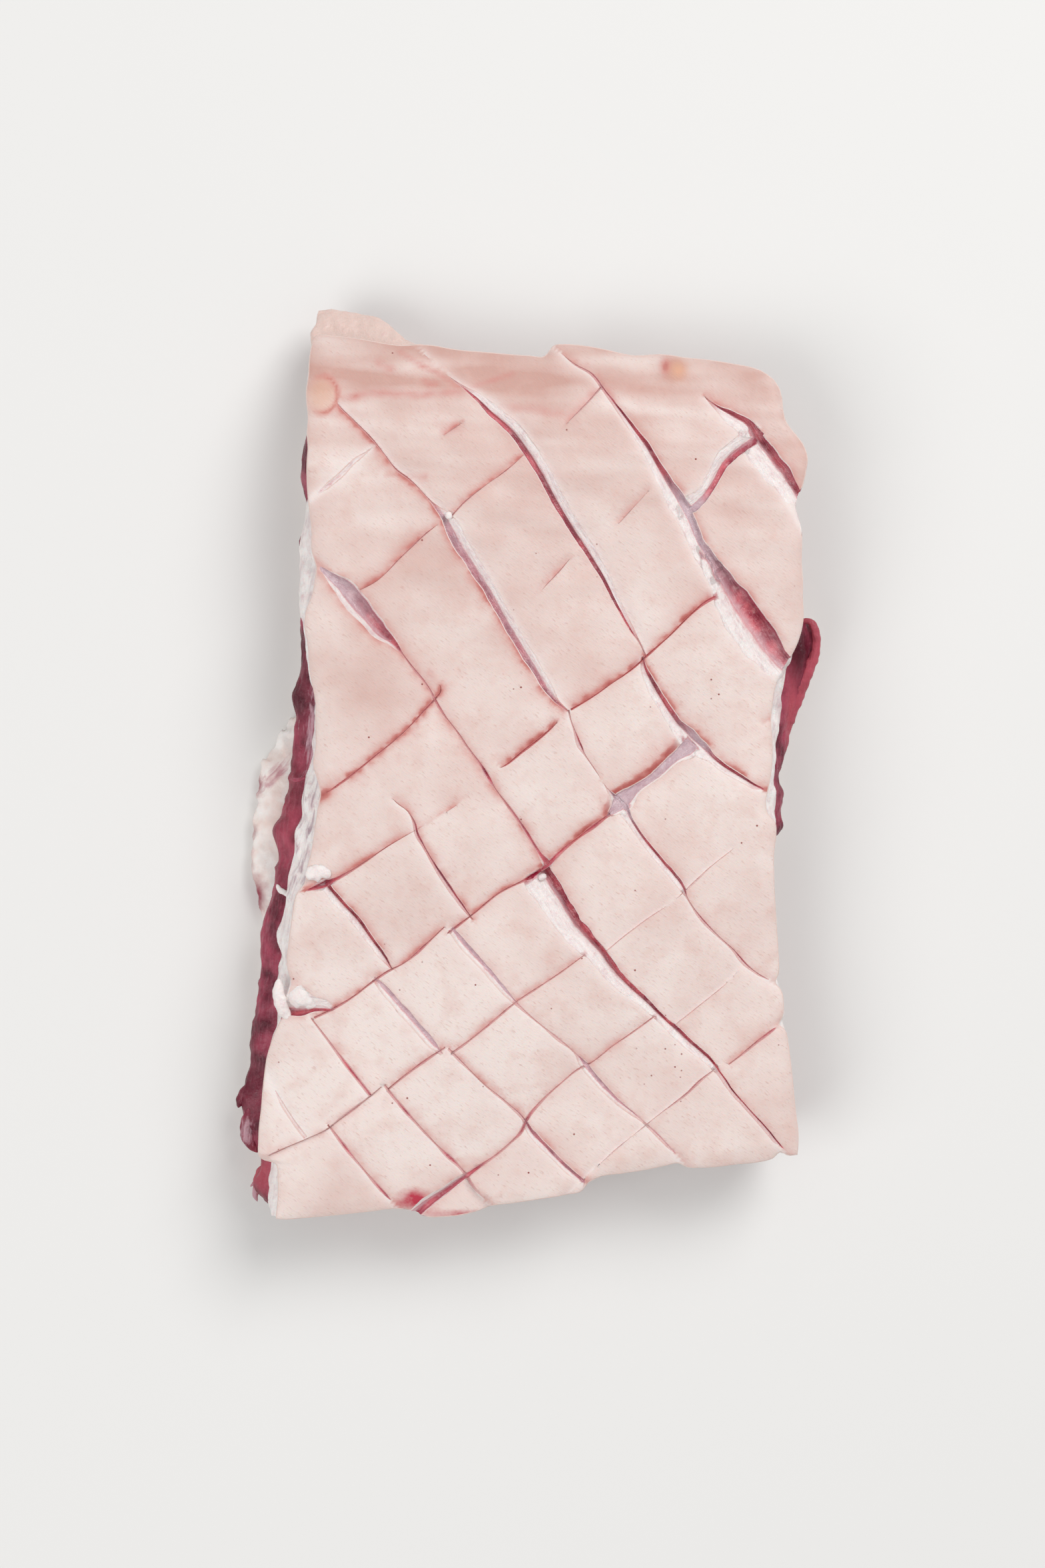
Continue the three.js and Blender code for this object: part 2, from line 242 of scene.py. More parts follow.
def skin_height(x, y):
    """The slab's height, plus folds that run across it and fade towards the thin end, plus a round
    swelling for each teat (x, y, radius, height): height * exp(-distance^2 / 2 radius^2)."""
    p = np.stack([x, y], -1)
    height = slab_height(x, y) + 0.16 * lumps(p, 24, 3)
    fold = np.sin(2 * np.pi * (y + FOLD_WANDER * lumps(p, 60, 4)) / FOLD_SPACING)
    height = height + FOLD_HEIGHT * fold * smoothstep(y, 5, 80) * (0.65 + 0.35 * lumps(p, 34, 5))
    for cx, cy, radius, swelling in TEATS:
        height = height + swelling * np.exp(-((x - cx) ** 2 + (y - cy) ** 2) / (2 * radius**2))
    return height


print("skin at the middle", round(float(skin_height(np.array(0.0), np.array(0.0))), 2), "mm")

# %% [markdown]
# ## Outlines
# Each layer has its own outline, as four sides that meet at the corners. The skin is the top one. The
# fat under it slopes out further in places, the lean shows as a dark strip along the left, and the
# inner fat comes out under that as a pale flap.

# %% The four sides of each layer, in mm
SKIN = {
    "left": [
        (-80, -143.9), (-79.4, -139), (-79.3, -132), (-79.9, -126.8), (-85, -124.6), (-85.4, -119),
        (-85.2, -114.6), (-84.6, -109.6), (-84.1, -103.4), (-83.4, -97.2), (-82.8, -93.3), (-81.6, -89.2),
        (-80, -84.9), (-78.2, -81), (-76.6, -74), (-75, -68.5), (-75.9, -64.5), (-76.1, -61), (-75.6, -56.9),
        (-74.8, -50.7), (-74.1, -45.8), (-72.9, -40.8), (-70.7, -38), (-69.6, -32.2), (-68.7, -29),
        (-67.6, -22.9), (-66.3, -13.6), (-65.6, -9.2), (-66.4, -5), (-67.7, -0.5), (-67, 5.7), (-67, 14.4),
        (-67, 19.9), (-67.8, 24.3), (-68.7, 28.6), (-69.1, 33.5), (-69.6, 39.1), (-70.4, 44), (-69.8, 49),
        (-68, 53.5), (-67.2, 58), (-66.8, 61.8), (-68.2, 67.6), (-68.3, 73.8), (-69, 80), (-69.7, 88),
        (-69.8, 95.5), (-69.5, 100), (-69.8, 104.8), (-69.5, 109.8), (-70, 114.5), (-70.2, 118.5),
        (-69.6, 123.5), (-69.5, 128), (-69.1, 132), (-68.4, 135), (-67, 137),
    ],
    "high": [
        (-67, 137), (-61, 136.2), (-55, 135.5), (-50, 134.6), (-45, 133.6), (-40, 133.1), (-35.5, 133.4),
        (-30, 133.1), (-24.9, 132.1), (-20, 131.5), (-14.4, 131.1), (-6.7, 130.4), (0, 129.9), (5.4, 129.8),
        (7, 131.8), (8.3, 133.3), (11.4, 133.6), (15, 133.4), (20, 132.7), (25.2, 131.6), (30, 130.4),
        (33.5, 129.8), (37, 129.9), (40.5, 130.2), (44, 130.1), (50, 129.1), (55, 128.6), (60, 127.9),
        (65, 127), (70, 126), (74, 124.6), (77.5, 122),
    ],
    "right": [
        (85.2, -123.6), (85.4, -117.2), (84.6, -110.7), (83.9, -104), (82.9, -94.7), (82.1, -88.9),
        (81, -84.2), (79.3, -82.6), (80.4, -79.5), (80.6, -76), (79.8, -71.6), (78, -69.2), (79, -66),
        (79, -62), (78.7, -57), (78.1, -48.7), (77.6, -41.5), (77.3, -34.9), (77.3, -27.7),
        (77.9, -22.5), (77.6, -18.4), (75.2, -15.5), (74.6, -12), (75.4, -8), (76.4, -2.3), (76.8, 6),
        (76.4, 13.5), (76.9, 19.7), (77.9, 25), (79.6, 29), (82.2, 33.3), (84.6, 38), (86.3, 43.7),
        (86.7, 48.1), (86.4, 52.4), (86.4, 58.2), (86, 64.8), (86.1, 69.8), (86, 74.1), (84.9, 78.1),
        (84, 81.8), (84.8, 84.8), (86.3, 88), (87.4, 92.6), (87.9, 96.5), (87, 100.2), (85.3, 103),
        (83, 105.8), (81.2, 108.6), (80.4, 112), (80, 116.2), (79.2, 119.3), (77.5, 122),
    ],
    "low": [
        (-80, -143.9), (-77, -144.1), (-73.2, -143.8), (-67, -143.3), (-57.8, -142.4), (-50, -141.5),
        (-42, -140.7), (-36.5, -141.6), (-33, -143.3), (-26.8, -143.5), (-20.6, -142.8), (-15.6, -141.4),
        (-12.2, -140), (-6, -139.1), (4.1, -137.5), (12.1, -136.1), (16.8, -134.9), (18.7, -132.6),
        (22.3, -130.6), (29.6, -129.5), (36.8, -128.4), (43.4, -127), (47.7, -126.2), (50.5, -127.5),
        (54.2, -127.6), (58.6, -127.4), (65.9, -126.5), (73.1, -125.8), (77.5, -124.6), (80, -122.6),
        (82.4, -123.8), (85.2, -123.6),
    ],
}
FAT = {
    "left": [
        (-82.2, -143), (-82.4, -135), (-81.9, -127), (-82.2, -115), (-82.2, -100), (-80.6, -90), (-79.2, -81),
        (-80, -73), (-79.6, -65.6), (-78.7, -59.4), (-79.8, -53.2), (-77.4, -47), (-76.7, -42),
        (-75.9, -35.2), (-74.6, -29.7), (-73.8, -21.6), (-71.9, -15.4), (-71.2, -6), (-69.2, -1), (-67.8, 8),
        (-67.8, 20), (-69.4, 32), (-71, 42), (-72.4, 49), (-72.6, 57), (-72.6, 66), (-71.6, 77), (-70, 84),
        (-69.2, 100), (-69.5, 120), (-69, 131), (-68.4, 138), (-67.2, 145.6),
    ],
    "high": [
        (-67.2, 145.6), (-63.6, 146), (-60, 145.6), (-54.8, 144.8), (-50, 143.6), (-46, 141.8),
        (-43.5, 139.6), (-41, 136.9), (-37.5, 134.9), (-33, 133.1), (-26, 131.6), (-14, 130), (0, 128.8),
        (7, 130), (14, 131.8), (33, 128.6), (60, 126.4), (70, 124), (76, 120.5),
    ],
    "right": [
        (84, -122), (83, -104), (80.6, -86), (78.6, -70), (77.4, -50), (76.4, -30), (77.9, -14),
        (78.1, -4), (78.1, 4), (79.6, 12), (80.2, 20), (81.2, 28), (83, 34), (85.2, 50), (85.2, 66),
        (83.8, 80), (85.4, 92), (81.8, 104), (78.6, 112), (76, 120.5),
    ],
    "low": [
        (-82.2, -143), (-74, -142.6), (-58, -141.4), (-34, -140.8), (-12, -138.4), (15, -133.4), (25, -129.2),
        (45, -125.8), (70, -124.6), (84, -122),
    ],
}
LEAN = {
    "left": [
        (-83.8, -140.2), (-86.8, -137.6), (-88, -134.6), (-86.4, -131), (-86, -126.5), (-89, -120.5),
        (-91, -115), (-91.6, -110.6), (-92.4, -107.4), (-91.2, -103), (-90.4, -99), (-89.6, -93),
        (-89, -86), (-87, -76.5), (-85.8, -69), (-86, -62), (-85.5, -55), (-84.7, -48), (-82.8, -42.2),
        (-81.2, -36), (-80.2, -29), (-81.2, -24), (-81.8, -20), (-79.4, -17), (-78.2, -12), (-76.9, -6),
        (-75.8, 2), (-75.2, 9), (-74.4, 15.5), (-75.6, 22.5), (-74.4, 27), (-73, 33), (-72.6, 39),
        (-72.5, 46), (-72.9, 54), (-72.6, 60.5), (-73, 67), (-72.4, 75), (-70.4, 81), (-71.6, 85),
        (-73.1, 91.5), (-72.7, 100), (-71.2, 105.5), (-69.6, 109), (-68.6, 125), (-64.5, 139),
    ],
    "right": [
        (81, -120), (79.4, -102), (76.4, -76), (75, -45), (77.6, -24), (81.6, -19.6), (80.6, -15),
        (81.8, -9.5), (80.4, -3), (81.8, 2), (83.8, 8), (85.8, 15), (88, 22.5), (90, 28), (92, 32.5),
        (93, 37), (92.8, 41.5), (91.2, 45), (88.2, 46.8), (85.4, 50), (83.6, 60), (81, 80), (82, 96),
        (74, 118),
    ],
    "low": [(-83.8, -140.2), (-58, -138.6), (-34, -138.8), (-12, -136), (18, -129.6), (45, -124), (81, -120)],
    "high": [
        (-64.5, 139), (-48, 137.8), (-37, 130.8), (-14, 127), (12, 129), (33, 125.8), (60, 123.8), (74, 118),
    ],
}
INNER_FAT = {
    "left": [
        (-78, -136), (-80.5, -112), (-80.4, -80), (-83, -57), (-85.4, -49.5), (-86.6, -45), (-87.8, -40),
        (-88.6, -36), (-89.2, -32), (-89.4, -27), (-88.8, -22), (-89.1, -18), (-88.3, -13.6),
        (-87.8, -9.6), (-87.2, -6), (-87.1, -2.4), (-86.2, 0), (-84.4, 1.2), (-84, 4), (-82.9, 7),
        (-81.4, 9), (-79.4, 10), (-78.2, 10.4), (-78.8, 12.4), (-77.9, 14.6), (-76, 15.4), (-74, 14.6),
        (-71, 20), (-68, 32), (-67, 50), (-66.5, 104), (-61, 134),
    ],
    "right": [
        (77.5, -117), (76, -98), (72.4, -70), (71, -30), (72, 0), (78, 28), (79.5, 52), (77, 84), (77.4, 97),
        (70, 114),
    ],
    "low": [(-78, -136), (-34, -135), (-12, -132), (18, -125.4), (45, -120), (77.5, -117)],
    "high": [
        (-61, 134), (-46, 132.5), (-35, 126.4), (-14, 122.8), (12, 124.6), (33, 121.5), (60, 119),
        (70, 114),
    ],
}
print({name: len(side) for name, side in SKIN.items()}, "points on the skin's sides")

# %% [markdown]
# ## From four sides to a surface
# A sheet that fills four curved sides is a Coons patch: halfway between the long sides, plus halfway
# between the ends, less the plain patch between the corners. The same four sides read once round give
# a ring, and a wall is a stack of rings. All layers use the same counts, so their rings match.

# %% Sheets and rings
ACROSS, ALONG = 152, 258  # cells of about 1.1 mm


def four_sides(sides):
    """The low, right, high and left side as points, the ends with ACROSS cells, the rest ALONG."""
    counts = {"low": ACROSS, "high": ACROSS, "left": ALONG, "right": ALONG}
    return {name: smooth_path(points, counts[name]) for name, points in sides.items()}


def ring_of(sides):
    """Once round the outline, anticlockwise from above."""
    s = four_sides(sides)
    return np.concatenate([s["low"][:-1], s["right"][:-1], s["high"][:0:-1], s["left"][:0:-1]])


def sheet_of(sides):
    """(1-u) left + u right + (1-v) low + v high, less the same blend of the four corners."""
    s = four_sides(sides)
    u, v = np.linspace(0, 1, ACROSS + 1)[None, :, None], np.linspace(0, 1, ALONG + 1)[:, None, None]
    between = (1 - u) * s["left"][:, None] + u * s["right"][:, None]
    between += (1 - v) * s["low"][None] + v * s["high"][None]
    low = (1 - u) * s["low"][0] + u * s["low"][-1]
    high = (1 - u) * s["high"][0] + u * s["high"][-1]
    return between - (1 - v) * low - v * high


def outward(ring):
    """The unit normal of a closed ring, from the line between the points three before and after."""
    run = np.roll(ring, -3, 0) - np.roll(ring, 3, 0)
    return np.stack([run[:, 1], -run[:, 0]], 1) / np.hypot(*run.T)[:, None]


def pushed_out(grid, by):
    """A closed wall of points, each moved by that many millimetres along the wall's own normal: the
    cross product of the way down and the way round."""
    down = np.gradient(grid, axis=0)
    around = np.roll(grid, -1, 1) - np.roll(grid, 1, 1)
    normal = np.cross(down, around)
    normal /= np.linalg.norm(normal, axis=-1, keepdims=True) + 1e-9
    return grid + normal * by[..., None]


def cap_rings(ring, height, inner=(0.93, 0.8, 0.6, 0.35, 0.0)):
    """Rings that shrink towards the middle of ring and close a sheet nobody sees: the height is a
    function of x and y."""
    middle = ring.mean(0)
    rings = [middle + (ring - middle) * share for share in inner]
    return np.stack([np.column_stack([r, height(*r.T)]) for r in rings])


print("a ring has", len(ring_of(SKIN)), "points")

# %% [markdown]
# ## From grids to a closed piece
# A piece is made of grids: a sheet on top, a wall round it, a cap below. Each grid becomes rows of
# four-cornered faces. Then points that lie on each other are joined, so the piece is one closed skin
# without seams. Its volume tells which way it faces: it is negative when the faces look inwards.

# %% Closed pieces
SAME_PLACE = 1e-6  # metres: points closer than this are one point


def grid_faces(rows, columns, first=0, closed=False):
    """The four-cornered faces of a grid of points, whose last column meets the first if closed."""
    index = first + np.arange(rows * columns).reshape(rows, columns)
    if closed:
        index = np.concatenate([index, index[:, :1]], 1)
    a, b, c, d = index[:-1, :-1], index[:-1, 1:], index[1:, 1:], index[1:, :-1]
    return np.stack([a, b, c, d], -1).reshape(-1, 4)


def join_and_face_out(mesh):
    """Points in the same place become one, and faces turn outwards."""
    bm = bmesh.new()
    bm.from_mesh(mesh)
    bmesh.ops.remove_doubles(bm, verts=bm.verts, dist=SAME_PLACE)
    bmesh.ops.recalc_face_normals(bm, faces=bm.faces)
    if bm.calc_volume(signed=True) < 0:
        bmesh.ops.reverse_faces(bm, faces=bm.faces)
    open_edges = sum(not e.is_manifold for e in bm.edges)
    bm.to_mesh(mesh)
    bm.free()
    print(mesh.name, "open edges:", open_edges)


def piece_from(name, parts, materials):
    """One closed mesh from grids (points, closed, material): joined where they meet, facing out."""
    points, faces, looks, first = [], [], [], 0
    for grid, closed, look in parts:
        rows, columns = grid.shape[:2]
        points.append(grid.reshape(-1, 3))
        quads = grid_faces(rows, columns, first, closed)
        faces.append(quads)
        looks.append(np.full(len(quads), look))
        first += rows * columns
    mesh = bpy.data.meshes.new(name)
    mesh.from_pydata((np.concatenate(points) * MM).tolist(), [], np.concatenate(faces).tolist())
    mesh.polygons.foreach_set("material_index", np.concatenate(looks))
    for material in materials:
        mesh.materials.append(material)
    join_and_face_out(mesh)
    piece = bpy.data.objects.new(name, mesh)
    scene.collection.objects.link(piece)
    print(name, len(mesh.vertices), "points,", len(mesh.polygons), "faces")
    return piece


def points_of(mesh):
    """The mesh's points in millimetres, as rows of x, y and z."""
    co = np.empty(len(mesh.vertices) * 3, np.float32)
    mesh.vertices.foreach_get("co", co)
    return co.reshape(-1, 3).astype(float) / MM


def store(mesh, **columns):
    """Keeps one number for each point of the mesh under each name, for the finish to read."""
    for name, values in columns.items():
        mesh.attributes.new(name, "FLOAT", "POINT").data.foreach_set("value", values.astype(np.float32))
    print(mesh.name, "keeps", ", ".join(columns))

# %% [markdown]
# ## The knife strokes
# A stroke is a wedge that the knife opens: narrow where the skin closed up again, wide where it
# gapes. Each is listed as points (x, y, gap) or (x, y, gap, tone), in the direction the knife went. A
# few numbers say how it looks: where its floor lies between the two lips, how far the lip on each side
# rolls down, how flushed the skin is there, and which lip lies higher.

# %% Falling strokes, from the far left to the near right
def stroke(points, floor=0.0, roll=(0.1, 0.1), flush=(0.1, 0.1), tone=0.1, depth=1.0, flat=0.2, raised=0.0):
    """Pairs are (left of the way, right of the way). floor runs from -1, at the right lip, to 1, at the
    left one. tone runs from 0, wet red, to 1, pale membrane. depth scales how deep it goes, flat is the
    floor's share of the gap, and raised says by how many mm the left lip lies higher than the right."""
    return {"points": points, "floor": floor, "roll": roll, "flush": flush, "tone": tone, "depth": depth,
            "flat": flat, "raised": raised}


FALLING = {
    "corner": stroke([
        (49.2, 128.2, 0.1), (55.7, 116.6, 0.4), (59.5, 113, 1.8), (63.2, 110.3, 4.2), (68.4, 106.8, 5.6),
        (71.6, 101.4, 8), (75.8, 95.2, 8.8), (80.2, 89.8, 7.6), (83.8, 84, 6.2), (86.6, 77.5, 5), (89, 72, 4),
    ], floor=0.6, roll=(0.1, 0.5), flush=(0.35, 0.1), tone=0.15, depth=0.62),
    "right_upper": stroke([
        (7, 137, 0.4, 0.2), (8.6, 133, 0.5, 0.2), (11, 130.2, 0.6, 0.2), (15, 126.8, 1, 0.2),
        (19.4, 124.2, 1.3, 0.2), (24.6, 117.4, 1.6, 0.2), (30.5, 109.3, 2.2, 0.1), (37.4, 99.4, 3.4, 0.1),
        (43.3, 88.8, 5, 0.4), (47, 82.6, 6.6, 1), (50, 77, 5.6, 1), (53.4, 69.2, 5.4, 0.95),
        (57.2, 63.4, 6.4, 0.8), (60, 59, 5, 0.5),
    ], floor=0.5, roll=(0.3, 0.3), flush=(0.35, 0.1), depth=0.7, flat=0.28),
    "right_lower": stroke([
        (55.4, 66.4, 3, 0.8), (57.2, 63.4, 6, 0.7), (61.4, 56.6, 8.4, 0.35), (65.6, 49.4, 12, 0.05),
        (70.6, 42.2, 12.8, 0.05), (75.8, 35, 11, 0.2), (81, 29.5, 8.4, 0.25), (87, 23, 6, 0.3),
    ], floor=0.42, roll=(0.3, 0.3), flush=(0.3, 0.1), depth=0.6, flat=0.4),
    "long_upper": stroke([
        (-37, 132.6, 0), (-35.5, 132, 0.2), (-29.9, 127.1, 0.3), (-23.7, 121.8, 0.6),
        (-20.5, 119.5, 1.2), (-17, 117, 2.6), (-11.5, 112, 4), (-5, 106.3, 4.6), (0.2, 99.5, 4.8),
        (5, 91.5, 4.8), (9.3, 83.5, 4.6), (14.5, 74.8, 4.2), (19.6, 67, 3.8), (24.5, 58.6, 3.2),
        (28, 51.2, 2.6), (32, 43.6, 1.8), (35.6, 37.3, 1), (37, 34.3, 1),
    ], floor=-0.5, roll=(0.7, 0.1), flush=(0.15, 0.1), tone=0.12, depth=0.8, flat=0.25),
    "long_lower": stroke([
        (36, 34, 1, 0.1), (36.2, 31.3, 2, 0.1), (38.4, 25.8, 3.4, 0.1), (41.9, 19.8, 3.8, 0.1),
        (46.2, 13.2, 4.4, 0.3), (50.4, 8.3, 6.4, 0.9), (54, 5, 5.8, 1), (57.5, 2.2, 3.4, 0.5),
        (60.5, -0.3, 3, 0.1), (67, -4.4, 2.6, 0.1), (72.6, -7.6, 2, 0.1), (77.5, -9.5, 1.6, 0.1),
        (83, -11.4, 1.6, 0.1),
    ], floor=0.6, roll=(0.1, 0.4), flush=(0.6, 0.1), depth=0.7, flat=0.24, raised=-0.3),
    "middle_upper": stroke([
        (-61, 115.4, 0, 0.3), (-60, 113.6, 0.4, 0.3), (-55.9, 109.4, 0.6, 0.3), (-48.5, 101.7, 0.6, 0.3),
        (-45.4, 97.7, 0.6, 0.3), (-41.7, 93, 0.6, 0.3), (-37.9, 90.2, 0.7, 0.3), (-29.9, 81.9, 1, 0.6),
        (-26, 78, 3.4, 0.9), (-24.2, 74.8, 5.2, 0.75), (-21.4, 69.5, 5, 0.7), (-16.5, 62, 4.6, 0.55),
        (-12, 54.8, 4.2, 0.5), (-7.3, 46.3, 4.2, 0.5), (-2.5, 38.3, 4, 0.5), (2.5, 30.2, 3.8, 0.5),
        (6.5, 23.3, 3, 0.4), (9.2, 19.6, 1.6, 0.3), (12.4, 16.8, 0.8, 0.3),
    ], floor=-0.45, roll=(0.7, 0.1), flush=(0.1, 0.6), depth=0.85, flat=0.36),
    "middle_lower": stroke([
        (12.6, 17.2, 0.8, 0.15), (13.2, 14.5, 0.9, 0.15), (14.7, 10, 1.3, 0.15), (15.9, 6.5, 1.5, 0.15),
        (17.4, 3.6, 0.7, 0.15), (20.4, -0.8, 0.6, 0.15), (25.3, -8.4, 1, 0.7), (27.6, -11.4, 3.5, 1),
        (29.6, -13.6, 4.2, 1), (31.6, -17, 2.8, 0.9), (34, -20.8, 2.4, 0.3), (36, -23.6, 2.4, 0.15),
        (42.2, -31.2, 2.6, 0.15), (48.6, -39.2, 2.2, 0.15), (50, -42, 1.2, 0.15), (54.4, -48.6, 1.4, 0.15),
        (59.6, -54, 1.2, 0.15), (65, -59, 1, 0.15), (68.3, -63, 1.2, 0.15), (72.3, -66.1, 1.2, 0.15),
        (77.8, -69.4, 1.4, 0.15), (83, -72.4, 1.8, 0.15),
    ], floor=0.6, roll=(0.1, 0.45), flush=(0.2, 0.15), depth=0.75, raised=-0.4),
    "left_upper": stroke([
        (-76, 67.5, 1, 0.9), (-68, 63.3, 2, 0.9), (-63, 59.6, 3.4, 0.95), (-58, 55.4, 6.4, 0.85),
        (-54.5, 51.1, 7, 0.6), (-50.5, 46.4, 6.4, 0.4), (-46.4, 41.5, 5, 0.2), (-42.4, 38.2, 2.6, 0.1),
        (-39.8, 34.8, 1.3, 0.1), (-37, 31.1, 1, 0.1), (-31.1, 23.5, 1, 0.1), (-29.6, 20.6, 1.1, 0.1),
        (-26.8, 15.8, 1.1, 0.1), (-23.1, 11.1, 0.8, 0.1), (-18.7, 4.7, 0.8, 0.1), (-15, -0.3, 1.1, 0.1),
        (-12.7, -4.2, 1.8, 0.1), (-10.6, -7.6, 0.9, 0.1), (-6.7, -12.8, 1.1, 0.1), (-1.7, -19.8, 1.2, 0.1),
        (3.4, -28, 1.5, 0.1), (6, -31.6, 3.2, 0.1),
    ], floor=0.15, roll=(0.45, 0.35), flush=(0.3, 0.4), depth=0.8, flat=0.35),
    "left_lower": stroke([
        (2.6, -34.8, 10), (4, -37, 10.2), (5.8, -39.8, 9.8), (8.6, -43.8, 9.2), (13, -50.8, 8.6),
        (18.4, -56.6, 7.2), (22, -60.2, 6.2), (24.7, -63.9, 6), (29.6, -69.2, 5), (38.3, -76.8, 3.6),
        (42, -80.4, 3), (45, -83.2, 3.6), (50.5, -88.3, 3.6), (57.6, -94.4, 2.8), (60.6, -98, 1.8),
        (64, -103, 1.7), (69.5, -109.2, 1.7), (76, -116.5, 1.7), (80, -121.6, 2), (86, -129, 2.4),
    ], floor=0.65, roll=(0.1, 0.3), flush=(0.2, 0.1), tone=0.05, depth=0.6, flat=0.23, raised=-0.3),
    "low_a": stroke([
        (-44.5, -9.3, 0), (-41.5, -12.2, 0.4), (-37.9, -15.1, 0.5), (-36, -18.6, 1.2),
        (-35.4, -21.5, 1.6), (-33, -26, 1.4), (-28.2, -34.2, 1.7), (-23.7, -40.8, 1.8),
        (-19.4, -46.8, 1.5), (-17.8, -49, 0.8),
    ], floor=0.4, roll=(0.1, 0.3), flush=(0.4, 0.1), tone=0.2, depth=0.8, raised=-0.5),
    "low_b": stroke([
        (-24.6, -52, 2.2, 0.8), (-21, -56.4, 3, 0.8), (-14, -64, 2.8, 0.8), (-5.4, -74, 2, 0.7),
        (-3, -76.4, 1.2, 0.3), (7.7, -85.6, 1.2, 0.3), (15, -91.8, 1.3, 0.3), (17.6, -95.2, 2.8, 0.7),
        (20.5, -98.8, 2.8, 0.7), (27.6, -106.3, 2.2, 0.6), (37.2, -114, 1.5, 0.4), (46.3, -123.4, 1.4, 0.4),
        (49, -126.8, 1.8, 0.5), (54, -133, 2, 0.5),
    ], floor=0.35, roll=(0.2, 0.3), flush=(0.2, 0.1), depth=0.36, flat=0.12, raised=-0.3),
    "low_c": stroke([
        (-65, -37.4, 3.4), (-63, -39.8, 3.2), (-60.6, -42.8, 3.2), (-55.8, -47.8, 3.2), (-49.5, -56.2, 2.8),
        (-45.2, -62, 2), (-43.4, -64.6, 0.8),
    ], floor=0.6, roll=(0.1, 0.3), flush=(0.4, 0.1), tone=0.05, depth=0.8, raised=-0.5),
    "low_d": stroke([
        (-49, -67.6, 1.4), (-46.4, -70.4, 2.8), (-42.3, -75, 3.2), (-35, -83.3, 3.2),
        (-29.6, -89.4, 2.6), (-27.4, -91.8, 1),
    ], floor=0.35, roll=(0.2, 0.3), flush=(0.1, 0.1), tone=0.85, depth=0.38, flat=0.1, raised=-0.3),
    "low_e": stroke([
        (-25.4, -90, 1.2), (-20, -95.4, 0.9), (-14.4, -101, 0.8), (-6.7, -107.4, 0.9),
        (-1.6, -112.4, 1.6), (0.6, -116.4, 2.6), (4.8, -120.8, 2.6), (11.3, -127.4, 2.4),
        (17.5, -132.8, 2.4), (23, -138.5, 2.4),
    ], floor=0.4, roll=(0.15, 0.3), flush=(0.35, 0.15), tone=0.4, depth=0.5, raised=-0.5),
    "low_f": stroke([
        (-90, -70, 17), (-84, -71.8, 16), (-78, -73.4, 14.4), (-72.5, -75, 9.8), (-67.4, -76, 5.2),
        (-64.4, -76.4, 4), (-61.6, -77.4, 1.4),
    ], floor=-0.7, roll=(0.2, 0.1), flush=(0.1, 0.2), tone=0.05, depth=0.55, flat=0.1),
    "low_g": stroke([
        (-68.8, -80.3, 0.8), (-65.8, -84.2, 1.2), (-57.8, -94.8, 1.3), (-50, -104.6, 1.7),
    ], roll=(0.1, 0.35), flush=(0.25, 0.12), depth=0.5, raised=-0.5),
    "low_h": stroke([
        (-45.6, -101.6, 1.2), (-43.8, -104, 1.5), (-38.6, -110.2, 1.1), (-29.3, -120.5, 1),
        (-20.2, -129.8, 1.4), (-17.5, -134, 1.2), (-13.4, -138.6, 1.3), (-7, -146, 1.4),
    ], roll=(0.1, 0.3), flush=(0.25, 0.15), depth=0.5, raised=-0.5),
    "low_i": stroke([
        (-85, -92.6, 0.8), (-84.2, -95.6, 1.4), (-82, -100.4, 1.7), (-78.6, -106.8, 1.6), (-75, -112.4, 1.6),
        (-70.6, -118.2, 1.4),
    ], floor=0.3, roll=(0.5, 0.5), flush=(0, 0), tone=0.9, depth=0.36, flat=0.08),
    "low_j": stroke([
        (-63.6, -114, 0.8), (-58.4, -120.8, 1.2), (-50, -131, 1.3), (-43.2, -138.7, 1.3), (-38, -145, 1.2),
    ], roll=(0.1, 0.35), flush=(0.28, 0.15), depth=0.5, raised=-0.5),
}
print(len(FALLING), "falling strokes")

# %% [markdown]
# ### The other way across
# The second set of strokes crosses the first. The knife jumps where a cut is already open, so these
# strokes are shorter, and the lip that it pushes ahead ends up half a millimetre higher.

